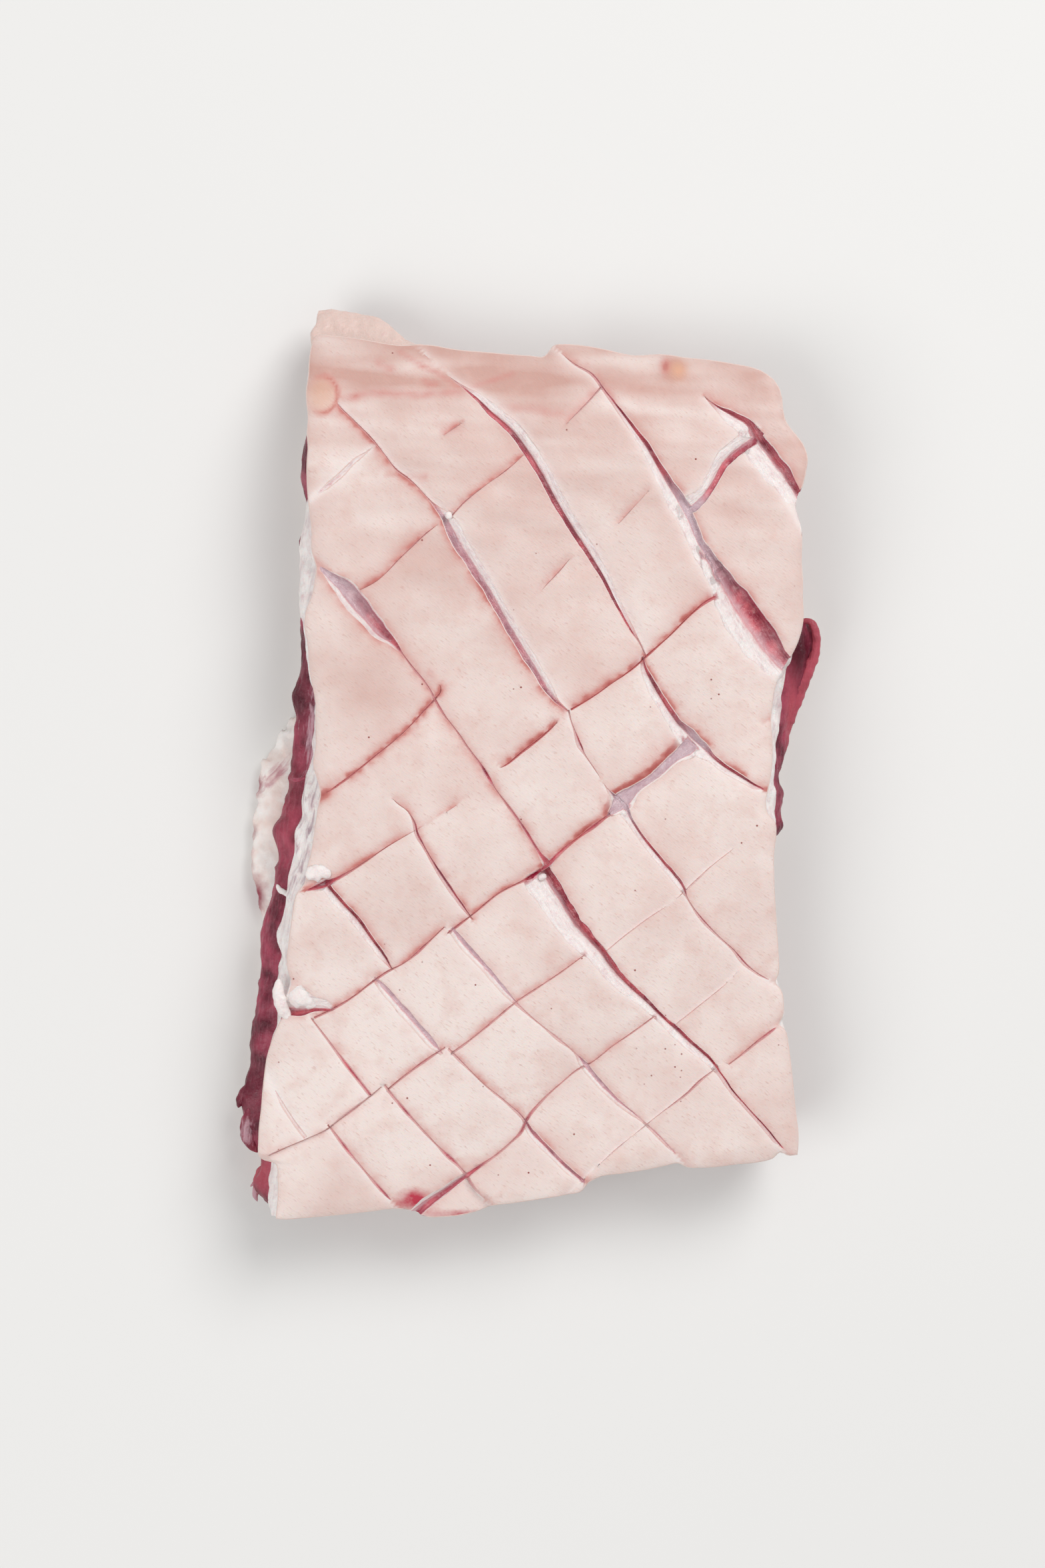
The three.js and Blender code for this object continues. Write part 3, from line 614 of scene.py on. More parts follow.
# %% Rising strokes, from the far right to the near left
RISING = {
    "short_a": stroke([
        (-20, 108.5, 0), (-22.6, 106.8, 0.45), (-25, 105.2, 0.4), (-28, 102.8, 0),
    ], roll=(0.2, 0.5), flush=(0.2, 0.5), tone=0.5, raised=0.5),
    "far_left": stroke([
        (-48.3, 101.3, 0), (-51, 98.8, 0.7), (-54.7, 96.1, 1.6), (-59.6, 91.2, 2), (-67, 85.3, 2),
        (-75, 79.5, 2),
    ], roll=(0.5, 0.4), flush=(0.05, 0.05), tone=1, depth=0.35, flat=0.3),
    "upper_a": stroke([
        (23, 119.4, 0.9), (18.6, 114.4, 0.9), (13, 108.6, 0.4), (9.2, 104.3, 0),
    ], roll=(0.1, 0.4), flush=(0.1, 0.35), tone=0.4, raised=0.5),
    "upper_b": stroke([
        (0, 99, 0.3), (-6.7, 93, 0.5), (-14, 87.6, 0.5), (-20, 82.8, 0.6), (-24.6, 78, 0.9),
    ], roll=(0.1, 0.5), flush=(0.1, 0.45), tone=0.3, raised=0.5),
    "upper_c": stroke([
        (-27, 76.6, 0), (-30.5, 74.2, 0.5), (-39.8, 65.8, 0.6), (-48.5, 57.4, 0.7), (-53, 55, 0.6),
    ], roll=(0.1, 0.5), flush=(0.15, 0.5), tone=0.3, raised=0.5),
    "wide_upper": stroke([
        (73, 106, 4.6, 0.1), (70.5, 103.6, 5.4, 0.1), (66, 100.3, 5.6, 0.1), (61.4, 96, 5.2, 0.1),
        (58.4, 90.5, 4.6, 0.1), (55.8, 86.4, 4.6, 0.3), (53.4, 83.8, 5.4, 0.9), (51.2, 82, 6, 1),
        (49.2, 80.8, 4, 1),
    ], floor=0.5, roll=(0.1, 0.35), flush=(0.1, 0.1), depth=0.6, flat=0.3),
    "faint_a": stroke([
        (42, 88.2, 0), (39.4, 87.2, 0.3), (35, 83, 0.35), (30, 77.6, 0.3), (26, 73.2, 0),
    ], roll=(0.1, 0.5), flush=(0.05, 0.2), tone=0.6, raised=0.5),
    "faint_b": stroke([
        (15, 66.8, 0), (12, 63.6, 0.3), (9.9, 61.1, 0.3), (6, 57, 0.3), (1.4, 51.5, 0),
    ], roll=(0.15, 0.5), flush=(0.05, 0.4), tone=0.4, raised=0.5),
    "hook": stroke([
        (-30.4, 28.4, 0), (-28.6, 26, 0.15), (-27.6, 24.4, 0.25), (-27.6, 23.1, 0.4),
        (-29.2, 21, 0.7), (-33, 16.9, 0.8), (-38.6, 10.9, 0.8), (-49.3, 1.9, 0.8), (-58.4, -5.3, 0.9),
        (-63.7, -9, 1.2), (-74, -15.2, 1.6),
    ], roll=(0.2, 0.5), flush=(0.5, 0.65), raised=0.4),
    "middle_a": stroke([
        (59, 52.8, 1), (56, 51.2, 0.9), (50.6, 46.6, 0.8), (44.4, 40.4, 0.8), (37.8, 34.6, 1.2),
        (35, 32, 0.9), (32, 29.5, 0.8), (26.4, 25.6, 0.8), (20.1, 21.2, 0.7), (13.4, 17.2, 0.9),
    ], roll=(0.1, 0.75), flush=(0.15, 0.8), raised=0.5),
    "middle_b": stroke([
        (12, 16, 0), (9.4, 13.4, 0.3), (6.4, 10.6, 0.8), (2.6, 7.4, 0.9), (-2, 3.9, 0.9), (-6.8, 0, 0.9),
        (-9.6, -1.6, 0),
    ], roll=(0.1, 0.75), flush=(0.1, 0.75), raised=0.5),
    "middle_c": stroke([
        (-13, -5.6, 0), (-18, -9.6, 0.15), (-23.7, -13.6, 0.2), (-31, -18.2, 0.2), (-36, -21, 0.4),
        (-43.5, -25.3, 0.5), (-54.7, -32.8, 0.8), (-60.8, -36.2, 1.6), (-64.4, -37.9, 3.4), (-67.5, -39, 2.4),
        (-70.5, -40, 0.6), (-72, -40.6, 0),
    ], roll=(0.1, 0.6), flush=(0.05, 0.5), raised=0.5),
    "nick": stroke([
        (84, 16.6, 1.4), (77.6, 14.3, 0.9), (74.4, 13.2, 0.5), (72, 12.2, 0),
    ], roll=(0.1, 0.4), flush=(0.1, 0.3), tone=0.3, raised=0.5),
    "wide_middle": stroke([
        (52.8, 6.8, 5.6), (51.2, 5.4, 6.4), (47, 2.4, 4.4), (40, -3.8, 3.4), (34, -8, 3.8),
        (29.6, -12, 7), (26.8, -14.8, 3.4), (25.6, -15.8, 2),
    ], floor=-0.2, roll=(0.1, 0.85), flush=(0.15, 2), tone=0.95, depth=0.4, flat=0.5, raised=0.3),
    "below_wide": stroke([
        (25.8, -15.6, 1.8), (24.8, -16.4, 1.4), (20, -20, 1.1), (15, -23.7, 1.1), (10, -27.8, 1.3),
        (6.4, -31.4, 2.4), (3.8, -33.6, 1.4),
    ], roll=(0.1, 0.7), flush=(0.15, 0.8), depth=0.7, raised=0.3),
    "left_middle": stroke([
        (4, -33.4, 1.6), (0.8, -35.6, 2.4), (-2, -37, 1.1), (-8.2, -40, 0.9), (-17.5, -47.3, 1),
        (-23.7, -52, 1.3), (-25.6, -53.4, 0.8),
    ], roll=(0.1, 0.6), flush=(0.15, 0.5), tone=0, raised=0.4),
    "low_k": stroke([
        (-26.6, -51.4, 0.5), (-32.4, -56.9, 0.9), (-39.8, -63.1, 0.9), (-45, -65.8, 1.2),
        (-48.8, -68.4, 1.4), (-55.6, -73.6, 0.8), (-62.7, -77.8, 1.3), (-67.8, -80.2, 1),
    ], roll=(0.15, 0.45), flush=(0.1, 0.45), raised=0.5),
    "near_a": stroke([
        (66.6, -25, 0), (64, -27.2, 0.3), (57.9, -32, 0.4), (50.6, -38.9, 0.6), (46, -43, 0.7),
        (36.8, -49.3, 0.5), (28.6, -55.6, 0.45), (24.6, -59, 0.5),
    ], roll=(0.15, 0.4), flush=(0.05, 0.15), tone=0.6, depth=0.6, raised=0.5),
    "near_b": stroke([
        (17.8, -60.2, 0.6), (9.9, -66, 0.6), (3, -70.6, 0.7), (-4, -75.2, 1), (-11.9, -81.8, 0.8),
        (-19, -87.6, 0.8), (-24.4, -91.5, 1),
    ], roll=(0.2, 0.45), flush=(0.12, 0.33), tone=0.15, depth=0.8, raised=0.5),
    "near_c": stroke([
        (-26.4, -89.6, 0.8), (-29.9, -91.9, 0.9), (-39.8, -99.1, 0.9), (-44.4, -102.9, 0.9),
    ], roll=(0.2, 0.45), flush=(0.15, 0.3), raised=0.5),
    "near_d": stroke([
        (-46.6, -102, 0.7), (-50.2, -105, 1.1), (-59.6, -112.1, 1), (-63.6, -115.3, 0.8),
        (-69.8, -118.3, 0.6), (-77, -121.4, 0.8), (-85.3, -125.2, 1.4), (-93, -128.6, 2),
    ], roll=(0.1, 0.2), flush=(0.15, 0.2), tone=0.3, depth=0.55, raised=-1.6),
    "near_e": stroke([
        (69, -62.8, 0), (66, -65.8, 0.3), (62.9, -69, 0.3), (54, -76.4, 0.4), (46, -82.8, 0.5),
    ], roll=(0.15, 0.4), flush=(0.05, 0.12), tone=0.6, depth=0.6, raised=0.5),
    "near_f": stroke([
        (40, -79.6, 0.6), (33, -84.8, 0.5), (26.7, -89.2, 0.55), (19.4, -94.8, 0.8), (16, -96.4, 1.2),
        (11, -100.4, 0.7), (4.9, -105.9, 0.8), (-0.6, -112.6, 1.1), (-2.2, -116.2, 1.5),
        (-6, -120.2, 1.1), (-10.7, -124.2, 1), (-16, -127.8, 1.6), (-20.2, -130.8, 2.4),
        (-25.8, -134.8, 3), (-31.2, -138.6, 4), (-38, -144, 5.4),
    ], floor=0.1, roll=(0.2, 0.3), flush=(0.15, 0.25), depth=0.8, flat=0.25, raised=0.5),
    "near_g": stroke([
        (86, -77.6, 1.8), (78.8, -83, 1.3), (71.6, -88.5, 1), (67.2, -92.1, 0.8), (63.4, -95, 0.5),
    ], roll=(0.15, 0.4), flush=(0.1, 0.3), raised=0.5),
    "near_h": stroke([
        (60, -95.8, 0.4, 0.5), (54.9, -99.6, 0.9, 0), (49.9, -104.4, 1.1, 0), (46.6, -107, 0.8, 0.2),
        (41, -111.2, 0.35, 0.8), (37.6, -114, 0.4, 0.8), (30.9, -119.4, 0.4, 0.8), (24, -125.4, 0.5, 0.8),
        (18.4, -130.8, 0.7, 0.5), (12, -137.5, 1.4, 0.3),
    ], roll=(0.15, 0.4), flush=(0.05, 0.15), raised=0.5),
}
print(len(FALLING), "falling and", len(RISING), "rising strokes")

# %% [markdown]
# ## A blade for each stroke
# To cut the skin, each stroke gets a blade: a wedge whose own surface becomes the wall of the cut.
# Its profile opens at the skin with a bevel, stands straight through the skin's edge, and then slopes
# through the fat to a floor off the middle, so that one wall shows. A Boolean takes the blades out of
# the slab, which keeps the lips crisp; moving the grid's points apart instead would smear them.

# %% Stations along a stroke
STATION_STEP = 1.2  # mm between the places at which a blade's profile is worked out
DEEPEST = 6.0  # mm: a stroke stops in the fat
RAGGED = 0.07  # how much of its width a lip wanders in 7 mm, and again in 2.6 mm if the cut is narrow


def stations_of(stroke, seed):
    """Places along a stroke: centre, normal to the left, half the gap on each side (made ragged by
    short waves) and depth. Depth grows with the gap and runs out where the gap is nothing."""
    points = np.array(stroke["points"], float)
    length = np.hypot(*np.diff(points[:, :2], axis=0).T).sum()
    path = smooth_path(points, max(6, int(length / STATION_STEP)))
    centre, gap = path[:, :2], np.maximum(path[:, 2], 0)
    gap = gap * (1 + 0.4 * lumps(centre, 13, seed + 5) * (1 - smoothstep(gap, 1, 2)))
    tone = path[:, 3] if path.shape[1] > 3 else np.full(len(path), stroke["tone"])
    fine = RAGGED / (1 + gap / 3)
    ragged = [1 + RAGGED * lumps(centre, 7, seed + side) + fine * lumps(centre, 2.6, seed + 9 + side)
              for side in (0, 1)]
    open_share = smoothstep(gap, 0.02, 0.4)
    depth = gap * (0.4 + 0.35 * smoothstep(gap, 1, 3)) + 0.15
    depth = stroke["depth"] * (1 - 0.45 * tone) * np.minimum(depth, DEEPEST) * open_share
    bevel = 0.05 + 0.2 * smoothstep(gap, 0, 2.5)
    narrow = 0.78 + 0.22 * smoothstep(gap, 0.8, 2.4)
    return {
        "centre": centre, "left": leftward(centre), "gap": gap, "depth": depth + 0.1 * (1 - open_share),
        "half": [np.maximum(gap / 2 * narrow * share - bevel, 0.05) for share in ragged],
        "bevel": bevel, "open": open_share, "tone": tone, "stroke": stroke, "step": length / (len(path) - 1),
    }


all_stations = {
    name: stations_of(stroke, 100 + 20 * place)
    for place, (name, stroke) in enumerate([*FALLING.items(), *RISING.items()])
}
print("deepest cut", round(max(st["depth"].max() for st in all_stations.values()), 1), "mm")

# %% [markdown]
# ### The wedge itself
# One wall of a cut leans out and shows, the other stands steep and stays dark. So the profile has two
# sets of steps from the lip to the floor, and each side of a stroke takes one of them or something
# between. At both ends the wedge shrinks to a point, which closes it: a Boolean needs closed shapes.

# %% Blades
ABOVE_SKIN = 1.5  # mm that a blade sticks out on top
# Steps as (share of the way in, share of the depth): down the steep wall, and down the shown one.
STEEP = np.array([(0, 0.07), (0.02, 0.2), (0.06, 0.36), (0.14, 0.6), (0.4, 0.85), (1, 1)])
SHOWN = np.array([(0, 0.08), (0.12, 0.15), (0.36, 0.28), (0.6, 0.45), (0.84, 0.72), (1, 1)])


def blade_from(name, st, material):
    """The profile carried along the stations. From the left lip to the right one: above the skin, the
    bevel, the wall as shares (of the way in, of the depth), and the floor. The wall that faces away
    from the floor is the shown one: it slopes like a rolled edge, and the other is steep."""
    floor, flat = st["stroke"]["floor"], st["stroke"]["flat"]
    mean_half = (st["half"][0] + st["half"][1]) / 2
    sides = []
    for side, sign in ((0, 1), (1, -1)):
        half = st["half"][side]
        target = np.clip((1.1 * floor + sign * flat) * mean_half, -0.93 * half, 0.93 * half)
        shown = np.clip(0.5 - sign * floor, 0, 1)
        line = [(sign * (half + st["bevel"] + ABOVE_SKIN), np.full(len(half), -ABOVE_SKIN)),
                (sign * (half + st["bevel"]), np.zeros(len(half)))]
        for inward, share in STEEP * (1 - shown) + SHOWN * shown:
            line.append((sign * half * (1 - inward) + target * inward, share * st["depth"]))
        sides.append(line)
    columns = sides[0] + sides[1][::-1]
    across = np.stack([a for a, _ in columns], 1)
    down = np.stack([d for _, d in columns], 1)
    xy = st["centre"][:, None] + st["left"][:, None] * across[..., None]
    z = skin_height(xy[..., 0], xy[..., 1]) - down + 0.5 * (1 - st["open"][:, None])
    wedge = np.concatenate([xy, z[..., None]], -1)
    ends = [np.stack([w, np.broadcast_to(w.mean(0), w.shape)]) for w in (wedge[0], wedge[-1])]
    return piece_from(name, [(wedge, True, 1), (ends[0], True, 1), (ends[1], True, 1)], [material, material])


print("a blade has", 2 * (2 + len(STEEP)), "points across")

# %% [markdown]
# ## Finishes
# Each finish is built from nodes. A small function adds a node, sets it and links it, and the rest is
# a list of what the real surface does. Distances in the patterns are real ones: Object coordinates
# are in metres, so a scale of 1000 / size gives features of that size in millimetres, and a Mapping
# node of the texture kind stretches them to the three sizes in its Scale. What differs from place to
# place, such as a flush beside a cut, is a number kept with the mesh, and an Attribute node reads it.

# %% The one helper for nodes
MIX, MATH, RANGE = "ShaderNodeMix", "ShaderNodeMath", "ShaderNodeMapRange"
NOISE, CELLS = "ShaderNodeTexNoise", "ShaderNodeTexVoronoi"
MAPPING, BUMP, ATTRIBUTE = "ShaderNodeMapping", "ShaderNodeBump", "ShaderNodeAttribute"
COLOURS = {"data_type": "RGBA"}  # a Mix node takes its two colours as its 6th and 7th input
PLUS, TIMES, TIMES_PLUS = ({"operation": name} for name in ("ADD", "MULTIPLY", "MULTIPLY_ADD"))
STRETCHED = {"vector_type": "TEXTURE"}


def fill(tree, made, **links):
    """Sets a node's inputs. A socket is linked, and so is a node, by its first output in use. Input
    names are written with _ for a space, or as in_0, in_1 by their place."""
    for key, value in links.items():
        at = int(key[3:]) if key.startswith("in_") else key.replace("_", " ")
        if isinstance(value, bpy.types.Node):
            value = next(output for output in value.outputs if output.enabled)
        if isinstance(value, bpy.types.NodeSocket):
            tree.links.new(value, made.inputs[at])
        else:
            made.inputs[at].default_value = value


def node(tree, kind, settings=None, **links):
    """Adds a node of this kind, with its settings, and fills its inputs."""
    made = tree.nodes.new(kind)
    for key, value in (settings or {}).items():
        setattr(made, key, value)
    fill(tree, made, **links)
    return made


def new_finish(name):
    """A material with only its shader: the material, its tree, the shader and the place of a point."""
    material = bpy.data.materials.new(name)
    material.use_nodes = True
    tree = material.node_tree
    place = node(tree, "ShaderNodeTexCoord").outputs["Object"]
    return material, tree, tree.nodes["Principled BSDF"], place


print("a noise with features of 8 mm has the scale", 1000 / 8)

# %% [markdown]
# ### Skin
# Scalded pork skin: the bristles are scraped off, which leaves a matt, slightly see-through hide,
# pale cream-pink with warmer blushes, and short hair roots that all lie one way. Two noises, one broad
# and one of about 8 mm, keep it from being even anywhere.

# %% Skin, scalded and scraped: the colours in it
skin, tree, shader, place = new_finish("pork_skin_scalded_scraped")
flush, warm, pale, blotch, pored, amber = (
    node(tree, ATTRIBUTE, {"attribute_name": name}).outputs["Fac"]
    for name in ("flush", "warm", "pale", "blotch", "pored", "amber"))
broad = node(tree, NOISE, Vector=place, Scale=1000 / 26, Detail=4.0, Roughness=0.55)
mottle = node(tree, NOISE, Vector=place, Scale=1000 / 8, Detail=5.0, Roughness=0.6)
hair_lie = node(tree, MAPPING, STRETCHED, Vector=place, Rotation=(0, 0, 0.93),
                Scale=(0.45 * MM, 2.0 * MM, 1 * MM))  # roots 2 mm long, turned by 53 degrees
hairs = node(tree, NOISE, Vector=hair_lie, Scale=1.0, Detail=2.0)
# The warm tone mixed in below is partly the skin's own and partly painted shade towards the shoulder.
warmth = node(tree, MATH, TIMES_PLUS, in_0=broad, in_1=1.1, in_2=-0.42)
warmth = node(tree, MATH, {"operation": "ADD", "use_clamp": True}, in_0=warmth, in_1=warm)
mottled = node(tree, RANGE, Value=mottle, From_Min=0.5, From_Max=0.75, To_Max=0.5)
hair = node(tree, RANGE, Value=hairs, From_Min=0.6, From_Max=0.74, To_Max=0.48)
tone = node(tree, MIX, COLOURS, in_0=warmth, in_6=linear("#F2E3DD"), in_7=linear("#D3A89D"))
for share, colour in ((mottled, "#E2BEB4"), (hair, "#CFA69B")):
    tone = node(tree, MIX, COLOURS, in_0=share, in_6=tone, in_7=linear(colour))
print(skin.name, "holds", len(tree.nodes), "nodes so far")

# %% [markdown]
# ### Blood and water in the skin
# What colours a hide is what lies under it. Next to a cut it is flushed, a teat is amber, and a bruise
# is crimson. A rolled lip is painted paler, a painted highlight along its rounded edge. Pores are single
# cells of a Voronoi pattern 2.4 mm wide: a number kept with the mesh says how many of them are dark.

# %% Skin: where it is flushed, stained or pored, and a painted highlight on rolled lips
uneven = node(tree, MATH, TIMES_PLUS, in_0=mottle, in_1=1.2, in_2=0.4)
flushed = node(tree, MATH, {"operation": "MULTIPLY", "use_clamp": True}, in_0=flush, in_1=uneven)
blush = node(tree, RANGE, Value=flushed, From_Min=0.0, From_Max=0.5)
deep = node(tree, RANGE, Value=flushed, From_Min=0.35, From_Max=0.9)
stained = node(tree, MATH, TIMES, in_0=blotch, in_1=mottle)
stain = node(tree, RANGE, Value=stained, From_Min=0.12, From_Max=0.5)
follicles = node(tree, CELLS, Vector=place, Scale=1000 / 2.4)
middle = node(tree, RANGE, Value=follicles, From_Min=0.07, From_Max=0.17, To_Min=1.0, To_Max=0.0)
chance = node(tree, "ShaderNodeSeparateColor", Color=follicles.outputs["Color"])
chosen = node(tree, MATH, {"operation": "LESS_THAN"}, in_0=chance, in_1=pored)
pore = node(tree, MATH, TIMES, in_0=middle, in_1=chosen)
# Of these, the pale one is a painted highlight along rolled lips; the others are the skin's own colours.
for share, colour in ((blush, "#D6928A"), (deep, "#B65F5A"), (amber, "#E2AB8C"), (pale, "#F7ECE8"),
                      (stain, "#C23A4E"), (pore, "#8A2A20")):
    tone = node(tree, MIX, COLOURS, in_0=share, in_6=tone, in_7=linear(colour))
grain = node(tree, CELLS, {"feature": "SMOOTH_F1"}, Vector=place, Scale=1000 / 0.9)
relief = node(tree, MATH, TIMES_PLUS, in_0=grain, in_1=0.25, in_2=hairs)
relief = node(tree, MATH, PLUS, in_0=relief, in_1=mottle)
bump = node(tree, BUMP, Strength=0.3, Distance=0.6 * MM, Height=relief)
fill(tree, shader, Base_Color=tone, Normal=bump, Roughness=0.5, Specular_IOR_Level=0.35,
     Subsurface_Weight=0.15, Subsurface_Radius=(1.0, 0.4, 0.25), Subsurface_Scale=1.8 * MM)
print(skin.name, len(tree.nodes), "nodes")

# %% [markdown]
# ### The cut under the skin
# A knife through raw back fat leaves three bands: the skin's own edge, firm and a little grey, then
# white fat with a waxy shine, and at the bottom of a wide cut the wet lean or a purplish membrane.
# Narrow cuts hold a film of blood. The fat is drawn out along the cut where the knife pulled it, so
# that pattern follows two numbers kept with the mesh: the way along the cut and the way across it.

# %% Cut back fat: the patterns in it
cut_fat, tree, shader, place = new_finish("back_fat_raw_cut")
wet_floor, floor_tone, blood, rind, outer, streaked, way, over, tan, steep = (
    node(tree, ATTRIBUTE, {"attribute_name": name}).outputs["Fac"]
    for name in ("wet", "tone", "blood", "rind", "outer", "streaked", "way", "over", "tan", "steep"))
cut_run = node(tree, MATH, TIMES, in_0=way, in_1=1 / 7)  # pulls 7 mm long
cut_over = node(tree, MATH, TIMES, in_0=over, in_1=1 / 1.1)  # and 1.1 mm wide
in_the_cut = node(tree, "ShaderNodeCombineXYZ", X=cut_run, Y=cut_over)
pulls = node(tree, NOISE, Vector=in_the_cut, Scale=1.0, Detail=4.0, Roughness=0.6, Distortion=0.4)
lobes = node(tree, NOISE, Vector=place, Scale=1000 / 2.2, Detail=4.0, Roughness=0.6)
clouds = node(tree, NOISE, Vector=place, Scale=1000 / 6, Detail=4.0)
lengthways = node(tree, MAPPING, STRETCHED, Vector=place, Rotation=(0, 0, -0.25),
                  Scale=(1.4 * MM, 7 * MM, 1.6 * MM))  # streaks 7 mm long, nearly along the slab
streaks = node(tree, NOISE, Vector=lengthways, Scale=1.0, Detail=4.0, Distortion=0.6)
print(cut_fat.name, "has", len(tree.nodes), "nodes before its colours")

# %% [markdown]
# ### From the skin's edge down
# Fat at the slab's side is older than fat in a fresh cut: veiled with grey-pink and streaked where
# lean runs into it. At the far left corner it is painted a darker tan, a painted shade where that corner
# slopes away from the light. Over both come fine veins, the pink-beige band of the skin's own edge, the
# film of blood in narrow cuts, and a pink fringe where the wet floor begins.

# %% Cut back fat: from the skin's edge down to the floor
veil = node(tree, RANGE, Value=clouds, From_Min=0.45, From_Max=0.75, To_Max=0.55)
side_fat = node(tree, MIX, COLOURS, in_0=veil, in_6=linear("#FBF4F1"), in_7=linear("#E2C4C5"))
# Painted shade: the far left corner is tinted a darker tan where it slopes away from the light.
side_fat = node(tree, MIX, COLOURS, in_0=tan, in_6=side_fat, in_7=linear("#DDBFB1"))
pull = node(tree, RANGE, Value=pulls, From_Min=0.5, From_Max=0.75, To_Max=0.7)
fresh_fat = node(tree, MIX, COLOURS, in_0=pull, in_6=linear("#F8EEEB"), in_7=linear("#E3CBCC"))
tone = node(tree, MIX, COLOURS, in_0=outer, in_6=fresh_fat, in_7=side_fat)
veins = node(tree, RANGE, Value=lobes, From_Min=0.5, From_Max=0.78, To_Max=0.45)
streak = node(tree, RANGE, Value=streaks, From_Min=0.48, From_Max=0.68, To_Max=0.75)
streak = node(tree, MATH, TIMES, in_0=streak, in_1=streaked)
streak = node(tree, MATH, TIMES, in_0=streak, in_1=outer)
wet = node(tree, MATH, TIMES_PLUS, in_0=lobes, in_1=0.6, in_2=wet_floor)
pinked = node(tree, RANGE, Value=wet, From_Min=0.35, From_Max=0.8, To_Max=0.9)
for share, colour in ((veins, "#DDC2C6"), (streak, "#A37E8D"), (rind, "#EBD2CA"), (blood, "#CA5A5C"),
                      (pinked, "#E0989D")):
    tone = node(tree, MIX, COLOURS, in_0=share, in_6=tone, in_7=linear(colour))
print(cut_fat.name, "holds", len(tree.nodes), "nodes so far")

# %% [markdown]
# ### The floor of a cut
# It is wet, so it is the glossiest part. Its red runs from a greyish film, where the shown wall comes
# down, to a dark line under the steep wall, which is painted shade. Where the membrane is whole it hides
# the red.

# %% Cut back fat: the wet floor
wet = node(tree, RANGE, Value=wet, From_Min=0.7, From_Max=1.1)
fleshy = node(tree, RANGE, Value=clouds, From_Min=0.4, From_Max=0.62)
tissue = node(tree, RANGE, Value=lobes, From_Min=0.52, From_Max=0.68, To_Max=0.45)
to_steep = node(tree, MATH, TIMES_PLUS, in_0=clouds, in_1=0.8, in_2=steep)
film = node(tree, RANGE, Value=to_steep, From_Min=0.2, From_Max=-0.4, To_Max=0.8)
# Painted shade: the floor darkens to wine red next to the steep wall, where shade falls.
sunk = node(tree, RANGE, Value=to_steep, From_Min=0.9, From_Max=1.5, To_Max=0.75)
red = node(tree, MIX, COLOURS, in_0=fleshy, in_6=linear("#A22A42"), in_7=linear("#E4707A"))
for share, colour in ((tissue, "#E9B6B8"), (film, "#E2B9BE"), (sunk, "#8A2F48")):
    red = node(tree, MIX, COLOURS, in_0=share, in_6=red, in_7=linear(colour))
purple = node(tree, MIX, COLOURS, in_0=lobes, in_6=linear("#B08492"), in_7=linear("#EEDCE0"))
floor_look = node(tree, MIX, COLOURS, in_0=floor_tone, in_6=red, in_7=purple)
tone = node(tree, MIX, COLOURS, in_0=wet, in_6=tone, in_7=floor_look)
relief = node(tree, MATH, PLUS, in_0=lobes, in_1=pulls)
bump = node(tree, BUMP, Strength=0.7, Distance=0.9 * MM, Height=relief)
gloss = node(tree, RANGE, Value=wet, To_Min=0.36, To_Max=0.12)
fill(tree, shader, Base_Color=tone, Normal=bump, Roughness=gloss, Subsurface_Weight=0.25,
     Subsurface_Radius=(1.0, 0.6, 0.5), Subsurface_Scale=1.5 * MM)
print(cut_fat.name, len(tree.nodes), "nodes")

# %% [markdown]
# ### Lean
# Raw belly muscle, cut with a knife: dark wine red, with fibres along the cut, thin seams of fat and
# a wet shine. The fibres are a noise stretched to 6 mm long and 0.9 mm thick, and bump follows them.

# %% Lean, raw and cut: dark, fibrous, wet
lean_look, tree, shader, place = new_finish("pork_lean_raw_cut")
seam, film, dark, light = (
    node(tree, ATTRIBUTE, {"attribute_name": name}).outputs["Fac"]
    for name in ("seam", "film", "dark", "light"))
along = node(tree, MAPPING, STRETCHED, Vector=place, Rotation=(0, 0, -0.12),
             Scale=(0.9 * MM, 6 * MM, 0.9 * MM))
fibres = node(tree, NOISE, Vector=along, Scale=1.0, Detail=4.0, Roughness=0.6, Distortion=0.4)
clouds = node(tree, NOISE, Vector=place, Scale=1000 / 8, Detail=4.0)
drops = node(tree, NOISE, Vector=place, Scale=1000 / 1.8, Detail=3.0)
redness = node(tree, RANGE, Value=clouds, From_Min=0.36, From_Max=0.62)
thread = node(tree, RANGE, Value=fibres, From_Min=0.5, From_Max=0.75, To_Max=0.4)
filmed = node(tree, MATH, TIMES_PLUS, in_0=fibres, in_1=0.9, in_2=film)
filmed = node(tree, RANGE, Value=filmed, From_Min=0.85, From_Max=1.1, To_Max=0.85)
fatty = node(tree, MATH, TIMES_PLUS, in_0=fibres, in_1=0.7, in_2=seam)
fatty = node(tree, RANGE, Value=fatty, From_Min=0.86, From_Max=1.0)
tone = node(tree, MIX, COLOURS, in_0=redness, in_6=linear("#601A2C"), in_7=linear("#AB475D"))
# Besides the lean's own darker and lighter places, dark holds painted shade in the hollow of the right fold,
# and light a painted highlight on that fold's rounded rim and tail, partly also its paler red edge.
for share, colour in ((thread, "#C07384"), (dark, "#4A0B1C"), (light, "#C65A66"), (filmed, "#D2A9B4"),
                      (fatty, "#EADAD6")):
    tone = node(tree, MIX, COLOURS, in_0=share, in_6=tone, in_7=linear(colour))
relief = node(tree, MATH, PLUS, in_0=fibres, in_1=drops)
bump = node(tree, BUMP, Strength=0.55, Distance=0.9 * MM, Height=relief)
fill(tree, shader, Base_Color=tone, Normal=bump, Roughness=0.26, Specular_IOR_Level=0.25,
     Coat_Weight=0.1, Coat_Roughness=0.12, Subsurface_Weight=0.12,
     Subsurface_Radius=(1.0, 0.25, 0.2), Subsurface_Scale=1.5 * MM)
